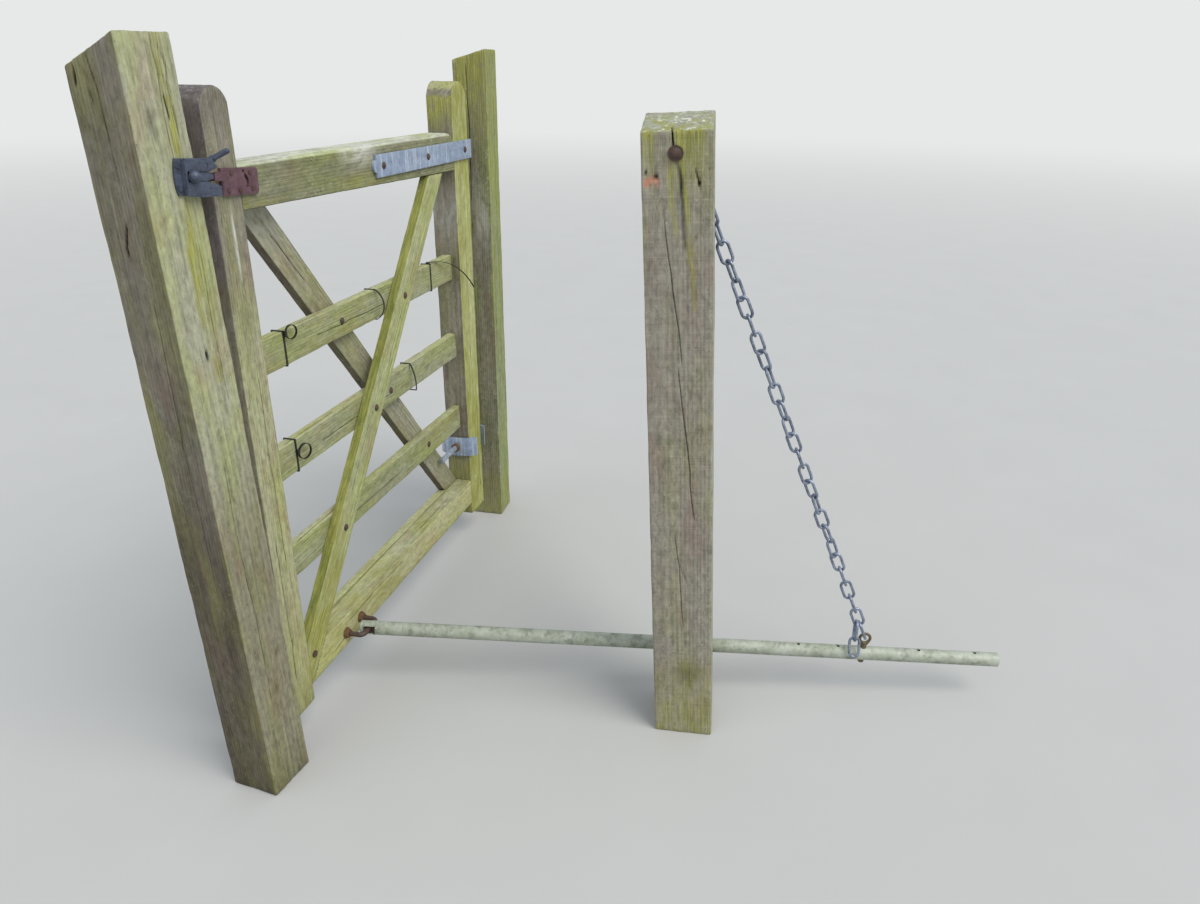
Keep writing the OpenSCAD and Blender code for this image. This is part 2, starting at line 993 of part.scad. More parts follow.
module closer_pole() {
  color(galvanised)
    at_pole()
      difference() {
        bar_x(-pole_back, pole_reach, 0, 0, pole_r);
        bar_x(-pole_back - 1, pole_reach + 1, 0, 0, pole_r - pole_wall);
        translate([-14, -pole_r - 5, -11])
          cube([30, 2 * pole_r + 10, 22]);
        for (share = [0.6825, 0.7455, 0.8735, 0.9625])
          translate([share * pole_run_length, 0, -pole_r - 5])
            cylinder(h = 2 * pole_r + 10, r = 4.5);
        translate([chain_at, 0, -pole_r - 5])
          cylinder(h = 2 * pole_r + 10, r = 4 + bolt_gap);
      }
}

// A pear-shaped eye on a shank through the pole, held by a nut below
module pole_eye() {
  color(brassy)
    at_pole()
      translate([chain_at, 0, 0]) {
        translate([0, 0, -pole_r - 9])
          cylinder(h = pole_r + 9 + eye_height - eye_loop_r, r = 4);
        translate([0, 0, -pole_r - 7])
          cylinder(h = 7, r = 7.5, $fn = 6);
        translate([0, 0, pole_r])
          cylinder(h = 3, r = 7);
        translate([0, 0, eye_height])
          rotate([90, 0, 0])
            rotate_extrude()
              translate([eye_loop_r, 0])
                circle(r = eye_wire_r);
        for (side = [-1, 1])
          bar([side * 11.6, 0, eye_height - 6.5], [side * 1.5, 0, pole_r + 2], 3);
      }
}

// Bolt through the closer post, ending in the level ring that carries the chain
module chain_bolt() {
  r = ring_wire_r + 1;
  face = -closer_post_side / 2;
  y = ring_centre[1];
  z = ring_centre[2];
  color(rusty)
    at_closer_post() {
      bar_x(face - 2, ring_centre[0] - ring_loop_r + 1, y, z, r);
      bar_x(face - 2, face, y, z, 14);
      translate([face - 2, y, z])
        rotate([0, -90, 0])
          intersection() {
            translate([0, 0, -5])
              sphere(r = 12);
            cylinder(h = 10, r = 10);
          }
      translate(ring_centre)
        rotate_extrude()
          translate([ring_loop_r, 0])
            circle(r = ring_wire_r);
    }
}

module chain_bolt_nut() {
  face = closer_post_side / 2;
  y = ring_centre[1];
  z = ring_centre[2];
  color(rusty)
    at_closer_post()
      difference() {
        union() {
          bar_x(face, face + 2, y, z, 12);
          translate([face + 2, y, z])
            rotate([0, 90, 0])
              cylinder(h = 8, r = 9, $fn = 6);
        }
        bar_x(face - 5, face + 20, y, z, ring_wire_r + 1 + running_gap);
      }
}

// Chain frame: x down the chain from the ring, z near the camera side's up
module at_chain() {
  translate(chain_top)
    rotate([0, chain_drop, chain_turn])
      children();
}

// One link whose inside starts at a distance down the chain, turned about the chain
module link(start, turn) {
  half = chain_inner_width / 2 + link_r;
  straight = link_inner_length - chain_inner_width;
  translate([start + chain_inner_width / 2, 0, 0])
    rotate([turn, 0, 0])
      union() {
        for (side = [-1, 1])
          bar_x(0, straight, side * half, 0, link_r);
        translate([straight, 0, 0])
          rotate([0, 0, -90])
            rotate_extrude(angle = 180)
              translate([half, 0])
                circle(r = link_r, $fn = 24);
        rotate([0, 0, 90])
          rotate_extrude(angle = 180)
            translate([half, 0])
              circle(r = link_r, $fn = 24);
      }
}

module top_link() {
  color(galvanised)
    at_chain()
      link(first_inner_start, link_turn);
}

module chain() {
  color(galvanised)
    at_chain()
      for (i = [1 : chain_links - 1])
        link(first_inner_start + i * link_pitch, link_turn + 90 * (i % 2));
}

// Two links left over at the chain's end, hanging clear of the pole
module spare_links() {
  color(galvanised)
    at_chain()
      for (at = spare_link_at)
        translate(at[0] + [last_inner_end, 0, 0])
          rotate(at[1])
            link(0, 0);
}

// Cable ties left on the rails, three drawn tight and two loose
module cable_ties() {
  upper_left = inner_left + 101;
  middle_left = inner_left + 91;
  upper_right = inner_right - 147;
  color(black_nylon) {
    tight_tie(upper_left, upper_rail_foot);
    tie_head(upper_left, upper_rail_foot + 66);
    tie_curl(upper_left, upper_rail_foot + 68, 15);
    tight_tie(middle_left, middle_rail_foot);
    tie_head(middle_left, middle_rail_foot + 45);
    tie_curl(middle_left, middle_rail_foot + 40, 17.6);
    tight_tie(upper_right, upper_rail_foot);
    tie_tail(upper_right, upper_rail_foot + rail_depth + tie_gap);
    loose_tie(front_x(rail_middles[0]) - 108, upper_rail_foot, 23, 36);
    loose_tie(rear_x(rail_middles[1]) + 114, middle_rail_foot, 16, 14);
  }
}

tie_thickness = 1.4;
tie_width = 4.8;
tie_gap = 0.05;

module tight_tie(x, foot) {
  t = tie_thickness;
  g = tie_gap;
  difference() {
    translate([x - tie_width / 2, rail_front - t, foot - t])
      cube([tie_width, rail_thickness + 2 * t, rail_depth + 2 * t]);
    translate([x - 5, rail_front - g, foot - g])
      cube([10, rail_thickness + 2 * g, rail_depth + 2 * g]);
  }
}

// The block that a tie's end runs through, on the rail's front
module tie_head(x, z) {
  translate([x - 3.5, rail_front - tie_thickness - 6, z - 4])
    cube([7, 6.2, 8]);
}

// The cut end of a tie, sprung round into a ring
module tie_curl(x, z, radius) {
  translate([x + 1, rail_front - tie_thickness - 3.1, z])
    rotate([0, 0, -14])
      translate([radius, tie_width / 2, 0])
        rotate([90, 0, 0])
          difference() {
            cylinder(r = radius, h = tie_width);
            translate([0, 0, -1])
              cylinder(r = radius - 1.3, h = tie_width + 2);
          }
}

// A head on the rail's top, and a long end that bends down in front of the stile
module tie_tail(x, top) {
  radius = 246.4;
  turn = 55.3;
  middle = rail_front + 6;
  translate([x - 3.5, middle - 4, top])
    cube([7, 8, 6]);
  translate([x, middle, top + 4.2 - radius])
    rotate([90, 0, -14.6])
      rotate([0, 0, 90 - turn])
        rotate_extrude(angle = turn)
          translate([radius - 0.6, -tie_width / 2])
            square([1.2, tie_width]);
}

// A slack tie: it stands out from the rail's front, furthest at a height
module loose_tie(x, foot, out, height) {
  t = tie_thickness;
  g = tie_gap;
  rise = rail_depth + t - height;
  reach = out - t - 0.2;
  bow = (pow(reach, 2) + pow(rise, 2)) / (2 * reach);
  middle = [rail_front - out + bow, foot + height];
  translate([x - tie_width / 2, 0, 0])
    rotate([90, 0, 90])
      linear_extrude(tie_width)
        difference() {
          intersection() {
            translate(middle)
              circle(bow);
            translate([rail_front - 50, foot - t])
              square([50 + rail_thickness + t, rail_depth + 2 * t]);
          }
          intersection() {
            translate(middle)
              circle(bow - t);
            translate([rail_front - 50, foot - g])
              square([50 + rail_thickness + g, rail_depth + 2 * g]);
          }
        }
}

latch_post();
hanging_post();
closer_post();
head_stile();
hinge_stile();
top_rail();
upper_rail();
middle_rail();
lower_rail();
bottom_rail();
bottom_rail_back();
front_brace();
rear_brace();
brace_bolts();
top_hinge_strap();
top_hinge_bolts();
top_hook();
bottom_eye_bolt();
bottom_hinge_nut();
saddle_plate();
rear_saddle_plate();
bottom_hook();
latch_body();
latch_bolt();
latch_lever();
latch_screws();
striker_plate();
striker_screws();
pole_staple();
staple_nuts();
pole_bush();
closer_pole();
pole_eye();
chain_bolt();
chain_bolt_nut();
top_link();
chain();
spare_links();
cable_ties();
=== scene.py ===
import math

import bmesh
import bpy
import numpy as np
from mathutils import Matrix, Vector


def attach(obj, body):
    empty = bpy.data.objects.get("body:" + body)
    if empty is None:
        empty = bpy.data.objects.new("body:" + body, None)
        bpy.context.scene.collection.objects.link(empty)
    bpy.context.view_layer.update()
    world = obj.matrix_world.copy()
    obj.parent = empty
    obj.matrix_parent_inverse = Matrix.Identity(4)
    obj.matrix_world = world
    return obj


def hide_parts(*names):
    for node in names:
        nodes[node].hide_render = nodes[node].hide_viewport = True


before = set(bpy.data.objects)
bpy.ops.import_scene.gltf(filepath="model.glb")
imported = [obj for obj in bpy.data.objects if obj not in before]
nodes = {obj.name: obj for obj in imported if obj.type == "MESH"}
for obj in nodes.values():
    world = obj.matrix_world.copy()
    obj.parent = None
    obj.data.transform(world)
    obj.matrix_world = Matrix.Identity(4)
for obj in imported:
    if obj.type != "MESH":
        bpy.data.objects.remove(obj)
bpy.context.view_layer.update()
scene = bpy.context.scene


# Camera and light. The camera is the one fitted to the photograph.
PHOTO_WIDTH = 1200  # pixels
FOCAL_LENGTH = 874.13  # pixels
SENSOR = 36  # mm
CAMERA_PLACE = (-2.562, -1.0335, 1.4046)
PITCH, ROLL, YAW = 23.504, -0.7484, 14.169  # degrees
SKY = (0.80, 0.86, 0.95, 1)
SKY_STRENGTH = 0.80
HAZE = (0.80, 0.81, 0.81, 1)
HAZE_FROM, HAZE_TO = 2.5, 22  # metres from the origin, where the floor starts and ends to fade
FLOOR_REACH = 60


def camera():
    pitch, roll, yaw = (math.radians(a) for a in (PITCH, ROLL, YAW))
    level = Vector((math.cos(yaw), math.sin(yaw), 0))
    right = Vector((math.sin(yaw), -math.cos(yaw), 0))
    ahead = math.cos(pitch) * level - math.sin(pitch) * Vector((0, 0, 1))
    down = -(math.cos(pitch) * Vector((0, 0, 1)) + math.sin(pitch) * level)
    turned_right = math.cos(roll) * right + math.sin(roll) * down
    turned_down = -math.sin(roll) * right + math.cos(roll) * down
    data = bpy.data.cameras.new("camera")
    data.sensor_width = SENSOR
    data.sensor_fit = "HORIZONTAL"
    data.lens = FOCAL_LENGTH / PHOTO_WIDTH * SENSOR
    data.clip_start = 0.05
    data.clip_end = 300
    cam = bpy.data.objects.new("camera", data)
    scene.collection.objects.link(cam)
    axes = Matrix((turned_right, -turned_down, -ahead)).transposed().to_4x4()
    cam.matrix_world = Matrix.Translation(CAMERA_PLACE) @ axes
    scene.camera = cam


def sun(name, source, strength, spread, colour):
    data = bpy.data.lights.new(name, "SUN")
    data.energy = strength
    data.angle = math.radians(spread)
    data.color = colour
    lamp = bpy.data.objects.new(name, data)
    lamp.rotation_euler = Vector(source).to_track_quat("Z", "Y").to_euler()
    scene.collection.objects.link(lamp)


class Mat:
    """A material made of nodes, with short calls for the kinds used here."""

    def __init__(self, name):
        self.material = bpy.data.materials.new(name)
        self.material.use_nodes = True
        self.tree = self.material.node_tree
        self.tree.nodes.clear()

    def add(self, kind, ins=None, **props):
        node = self.tree.nodes.new(kind)
        for key, value in props.items():
            setattr(node, key, value)
        for key, value in (ins or {}).items():
            if isinstance(value, bpy.types.NodeSocket):
                self.tree.links.new(value, node.inputs[key])
            else:
                node.inputs[key].default_value = value
        return node

    def math(self, kind, a, b=0.0, c=None, clamp=False):
        ins = {0: a, 1: b}
        if c is not None:
            ins[2] = c
        return self.add("ShaderNodeMath", ins, operation=kind, use_clamp=clamp).outputs[0]

    def mix(self, share, a, b, kind="MIX"):
        ins = {0: share, 6: colour(a), 7: colour(b)}
        return self.add("ShaderNodeMix", ins, data_type="RGBA", blend_type=kind).outputs[2]

    def tint(self, share, a, factor):
        """The colour a, and where share says so a times factor."""
        return self.mix(share, a, self.mix(1.0, a, factor, "MULTIPLY"))

    def noise(self, vector, scale, detail=3.0, rough=0.55, warp=0.0):
        ins = {"Vector": vector, "Scale": scale, "Detail": detail, "Roughness": rough, "Distortion": warp}
        return self.add("ShaderNodeTexNoise", ins).outputs[0]

    def ramp(self, value, low, high):
        ins = {0: value, 1: low, 2: high}
        return self.add("ShaderNodeMapRange", ins, interpolation_type="SMOOTHSTEP").outputs[0]

    def stretch(self, vector, scale, rotation=(0, 0, 0), offset=(0, 0, 0)):
        ins = {"Vector": vector, "Scale": scale, "Rotation": rotation, "Location": offset}
        return self.add("ShaderNodeMapping", ins).outputs[0]

    def finish(self, ins, height, depth, strength):
        shader = self.add("ShaderNodeBsdfPrincipled", ins)
        bump = self.add("ShaderNodeBump", {"Height": height, "Distance": depth, "Strength": strength})
        self.tree.links.new(bump.outputs[0], shader.inputs["Normal"])
        out = self.add("ShaderNodeOutputMaterial")
        self.tree.links.new(shader.outputs[0], out.inputs[0])
        return self.material


def colour(c):
    """A colour written as three values of the screen, from 0 to 1, made linear."""
    if isinstance(c, (tuple, list)) and len(c) == 3:
        return tuple(x / 12.92 if x <= 0.04045 else ((x + 0.055) / 1.055) ** 2.4 for x in c) + (1.0,)
    return c


def sky():
    """One light for the scene, and an even backdrop for the camera."""
    world = bpy.data.worlds.new("world")
    world.use_nodes = True
    tree = world.node_tree
    tree.nodes.clear()
    path = tree.nodes.new("ShaderNodeLightPath")
    seen = tree.nodes.new("ShaderNodeMath")
    seen.operation = "MAXIMUM"
    tree.links.new(path.outputs["Is Camera Ray"], seen.inputs[0])
    tree.links.new(path.outputs["Is Transmission Ray"], seen.inputs[1])
    light = tree.nodes.new("ShaderNodeBackground")
    light.inputs[0].default_value = SKY
    light.inputs[1].default_value = SKY_STRENGTH
    back = tree.nodes.new("ShaderNodeBackground")
    back.inputs[0].default_value = HAZE
    mix = tree.nodes.new("ShaderNodeMixShader")
    out = tree.nodes.new("ShaderNodeOutputWorld")
    tree.links.new(seen.outputs[0], mix.inputs[0])
    tree.links.new(light.outputs[0], mix.inputs[1])
    tree.links.new(back.outputs[0], mix.inputs[2])
    tree.links.new(mix.outputs[0], out.inputs[0])
    scene.world = world


def stage():
    sky()
    sun("key", (-0.35, -0.75, 1.0), strength=2.3, spread=40, colour=(1.0, 0.97, 0.92))
    sun("fill", (-0.9, 0.5, 0.8), strength=0.45, spread=60, colour=(0.92, 0.96, 1.0))
    mesh = bpy.data.meshes.new("floor")
    far = FLOOR_REACH
    mesh.from_pydata([(-far, -far, 0), (far, -far, 0), (far, far, 0), (-far, far, 0)], [], [(0, 1, 2, 3)])
    floor = bpy.data.objects.new("floor", mesh)
    scene.collection.objects.link(floor)
    m = Mat("floor")
    place = m.add("ShaderNodeTexCoord").outputs["Object"]
    tone = m.mix(m.noise(place, 3.0), (0.70, 0.70, 0.69), (0.72, 0.72, 0.71))
    distance = m.add("ShaderNodeVectorMath", {0: place}, operation="LENGTH").outputs[1]
    ground = m.add("ShaderNodeBsdfDiffuse", {"Color": tone})
    haze = m.add("ShaderNodeEmission", {"Color": HAZE, "Strength": 1.0})
    faded = m.ramp(distance, HAZE_FROM, HAZE_TO)
    blend = m.add("ShaderNodeMixShader", {0: faded, 1: ground.outputs[0], 2: haze.outputs[0]})
    m.add("ShaderNodeOutputMaterial", {0: blend.outputs[0]})
    mesh.materials.append(m.material)


# Noise on points
def lattice(i, j, k, seed):
    """A random value from -1 to 1 for each corner of the noise's grid."""
    with np.errstate(over="ignore"):
        h = (
            i.astype(np.uint32) * np.uint32(374761393)
            + j.astype(np.uint32) * np.uint32(668265263)
            + k.astype(np.uint32) * np.uint32(2246822519)
            + np.uint32(seed * 3266489917 & 0xFFFFFFFF)
        )
        h = (h ^ (h >> np.uint32(13))) * np.uint32(1274126177)
        h = h ^ (h >> np.uint32(16))
    return (h & np.uint32(0xFFFFFF)).astype(float) / 0xFFFFFF * 2 - 1


def noise(points, seed):
    """Smooth noise with cells of size 1, from -1 to 1."""
    base = np.floor(points).astype(np.int64)
    f = points - base
    f = f * f * (3 - 2 * f)
    total = np.zeros(len(points))
    for corner in range(8):
        d = [(corner >> n) & 1 for n in range(3)]
        weight = np.ones(len(points))
        for n in range(3):
            weight *= f[:, n] if d[n] else 1 - f[:, n]
        total += weight * lattice(base[:, 0] + d[0], base[:, 1] + d[1], base[:, 2] + d[2], seed)
    return total


def fractal(points, seed, octaves=3):
    total, size = np.zeros(len(points)), 1.0
    for n in range(octaves):
        total += size * noise(points * 2.03**n, seed + n)
        size *= 0.5
    return total


def unit(values):
    """Values held between 0 and 1."""
    return np.clip(values, 0, 1)


def turn(a, b, c):
    """The rotation about x, then y, then z, in degrees."""
    angles = ((a, "X"), (b, "Y"), (c, "Z"))
    x, y, z = (Matrix.Rotation(math.radians(angle), 3, axis) for angle, axis in angles)
    return np.array(z @ y @ x)


def near_line(s, t, line):
    """Distance from points to a broken line in a face, and the share of the way along it."""
    best, along = np.full(len(s), np.inf), np.zeros(len(s))
    for n in range(len(line) - 1):
        a, b = np.array(line[n]), np.array(line[n + 1])
        d = b - a
        share = unit(((s - a[0]) * d[0] + (t - a[1]) * d[1]) / (d @ d))
        gap = np.hypot(s - a[0] - share * d[0], t - a[1] - share * d[1])
        closer = gap < best
        best = np.where(closer, gap, best)
        along = np.where(closer, (n + share) / (len(line) - 1), along)
    return best, along


# Timber
FRONT, RIGHT, BACK, LEFT, CAP = range(5)  # the sides of a board; CAP + 1 is its far end
DARK, MOSS, BARE, FRESH = range(4)  # what the four channels of the attribute "mark" paint
CRACK_STEP = 0.0011
LEAST_STEP = 0.0008
EDGE_WEAR = 0.007  # how far from a long edge the wood is worn


def crack_in(side, width, depth, *line, **more):
    """A crack along a broken line in one side, as places along the grain and across it."""
    return {"side": side, "line": line, "width": width, "depth": depth, **more}


def stain_on(side, width, *line, **more):
    """A soft mark without depth along a broken line."""
    return {"side": side, "line": line, "width": width, "soft": 1, **more}


def side_points(low, high, step, fine):
    """Places across a side, closer together where cracks run."""
    at = list(np.linspace(low, high, max(3, int(round((high - low) / step)) + 1)))
    for a, b in fine:
        a, b = max(a, low), min(b, high)
        if b > a:
            at += list(np.arange(a, b, CRACK_STEP))
    at = np.unique(np.round(at, 5))
    keep = [at[0]]
    for value in at[1:-1]:
        if value - keep[-1] > LEAST_STEP and at[-1] - value > LEAST_STEP:
            keep.append(value)
    return np.array(keep + [at[-1]])


def board(
    name, node, body, slot, material, origin, axes, box, start, end, seed, cracks, paint,
    step=0.0036, ring=0.009, cap_rings=9, radius=0.003, radii=None, corner=(0.33, 0.67),
    wave=0.0005, ridge=0.00025, wear=0.0012, warp=None, floor=False,
):
    """A length of timber with worn edges. axes has the columns along, across and through, box is
    (across from, to, through from, to), start and end give where it begins and ends along the grain.
    step, ring and cap_rings set the mesh, radii and corner its long edges, wave, ridge and wear how rough
    it is. paint changes the marks, warp the shape, and floor keeps the foot above the ground."""
    radii = radii or (radius,) * 4
    v0, v1, w0, w1 = box
    pv, pw, nv, nw, side = [], [], [], [], []
    corners = [(v0, w0), (v1, w0), (v1, w1), (v0, w1)]
    out = [(0, -1), (1, 0), (0, 1), (-1, 0)]
    for n in range(4):
        a, b = corners[n], corners[(n + 1) % 4]
        ra, rb = radii[n], radii[(n + 1) % 4]
        axis = 0 if n in (FRONT, BACK) else 1
        sign = 1 if b[axis] > a[axis] else -1
        low, high = sorted((a[axis] + sign * ra, b[axis] - sign * rb))
        fine = []
        for crack in cracks:
            if crack["side"] == n and crack.get("depth", 0) > 0:
                across = [p[1] for p in crack["line"]]
                fine.append((min(across) - 1.6 * crack["width"], max(across) + 1.6 * crack["width"]))
        places = side_points(low, high, step, fine)
        for value in places if sign > 0 else places[::-1]:
            point = [a[0], a[1]]
            point[axis] = value
            pv.append(point[0]), pw.append(point[1])
            nv.append(out[n][0]), nw.append(out[n][1]), side.append(n)
        nxt = out[(n + 1) % 4]
        centre = (b[0] - (out[n][0] + nxt[0]) * rb, b[1] - (out[n][1] + nxt[1]) * rb)
        for part in corner:
            angle = part * math.pi / 2
            d = [math.cos(angle) * out[n][k] + math.sin(angle) * nxt[k] for k in (0, 1)]
            pv.append(centre[0] + rb * d[0]), pw.append(centre[1] + rb * d[1])
            nv.append(d[0]), nw.append(d[1]), side.append(n)
    pv, pw, nv, nw, side = (np.array(x, float) for x in (pv, pw, nv, nw, side))
    side = side.astype(int)
    count = len(pv)
    cv, cw = (v0 + v1) / 2, (w0 + w1) / 2
    half = min(v1 - v0, w1 - w0) / 2
    span = float(np.max(end(pv, pw) - start(pv, pw)))
    r = radius
    caps = [0.001] + list(np.linspace(0.1, 1 - r / half, cap_rings))
    rows = [(f, 0, 0.0, -1) for f in caps]
    rows += [(1 - 0.3 * r / half, 0, 0.3 * r, -0.5), (1, 0, r, 0)]
    steps = max(2, int(span / ring))
    rows += [(1, t, r, 0) for t in np.linspace(0, 1, steps + 1)[1:-1]]
    rows += [(1, 1, r, 0), (1 - 0.3 * r / half, 1, 0.3 * r, 0.5)] + [(f, 1, 0.0, 1) for f in caps[::-1]]
    q, normal, where = [], [], []
    for f, t, inset, cap in rows:  # share of the section, share of the length, inset, facing
        v, w = cv + (pv - cv) * f, cw + (pw - cw) * f
        a, b = start(v, w) + inset, end(v, w) - inset
        q.append(np.stack([a + (b - a) * t, v, w], 1))
        size = 1 - abs(cap)
        normal.append(np.stack([np.full(count, float(cap)), nv * size, nw * size], 1))
        where.append(np.where(abs(cap) == 1, CAP + (cap > 0), side))
    q, normal, where = np.concatenate(q), np.concatenate(normal), np.concatenate(where)
    normal /= np.maximum(np.linalg.norm(normal, axis=1), 1e-9)[:, None]
    across_gap = np.minimum(q[:, 1] - v0, v1 - q[:, 1])
    through_gap = np.minimum(q[:, 2] - w0, w1 - q[:, 2])
    worn = unit(1 - np.maximum(across_gap, through_gap) / EDGE_WEAR)
    shift = wave * fractal(q * (5, 30, 30), seed, 2) - wave * 0.7
    shift += ridge * fractal(q * (9, 130, 130), seed + 5, 2)
    shift -= wear * worn * np.clip(fractal(q * (22, 60, 60), seed + 9, 3) + 0.1, 0, 2)
    mark = np.zeros((len(q), 4))
    for crack in cracks:
        if crack["side"] == CAP:
            gap, along = near_line(q[:, 1], q[:, 2], crack["line"])
            on = where == CAP + 1
        else:
            across = q[:, 1] if crack["side"] in (FRONT, BACK) else q[:, 2]
            wander = 0.0012 * noise(q * (30, 0, 0) + seed, seed + 3) * crack.get("wander", 1)
            gap, along = near_line(q[:, 0], across + wander, crack["line"])
            on = where == crack["side"]
        taper = unit(1.15 - np.abs(2 * along - 1)) ** 0.5 if crack.get("taper", 1) else 1.0
        width = crack["width"] * (0.75 + 0.25 * taper)
        inside = unit(1 - gap / width) * on
        shift -= crack.get("depth", 0) * taper * np.minimum(1, inside * 1.4)
        soft = crack.get("soft", 0)
        amount = unit(inside * (1.0 if soft else 2.2)) * (taper if soft else 1)
        channel = crack.get("channel", DARK)
        if soft:
            amount = amount * unit(0.75 + 0.5 * fractal(q * (40, 160, 160), seed + 17, 2))
        mark[:, channel] = np.maximum(mark[:, channel], amount * crack.get("amount", 1))
    mark = unit(paint(q, where, mark, shift))
    q = q + normal * shift[:, None]
    if warp:
        q = warp(q)
    world = np.array(origin) + q @ np.array(axes).T
    if floor:
        world[:, 2] = np.maximum(world[:, 2], 0.0)
    faces = []
    for i in range(len(rows) - 1):
        a = np.arange(count) + i * count
        b = np.roll(np.arange(count), -1) + i * count
        faces.append(np.stack([a, b, b + count, a + count], 1))
    faces = [tuple(f) for f in np.concatenate(faces)]
    faces.append(tuple(range(count))[::-1])
    faces.append(tuple(range((len(rows) - 1) * count, len(rows) * count)))
    mesh = bpy.data.meshes.new(name)
    mesh.from_pydata(world.tolist(), [], faces)
    if np.linalg.det(np.array(axes)) < 0:
        mesh.flip_normals()
    attribute = mesh.color_attributes.new("mark", "FLOAT_COLOR", "POINT")
    attribute.data.foreach_set("color", mark.astype(np.float32).ravel())
    mesh.materials.append(material)
    piece = bpy.data.objects.new(name, mesh)
    scene.collection.objects.link(piece)
    bm = bmesh.new()
    bm.from_mesh(mesh)
    bmesh.ops.recalc_face_normals(bm, faces=bm.faces)
    bm.to_mesh(mesh)
    bm.free()
    for polygon in mesh.polygons:
        polygon.use_smooth = True
    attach(piece, body)
    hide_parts(node)


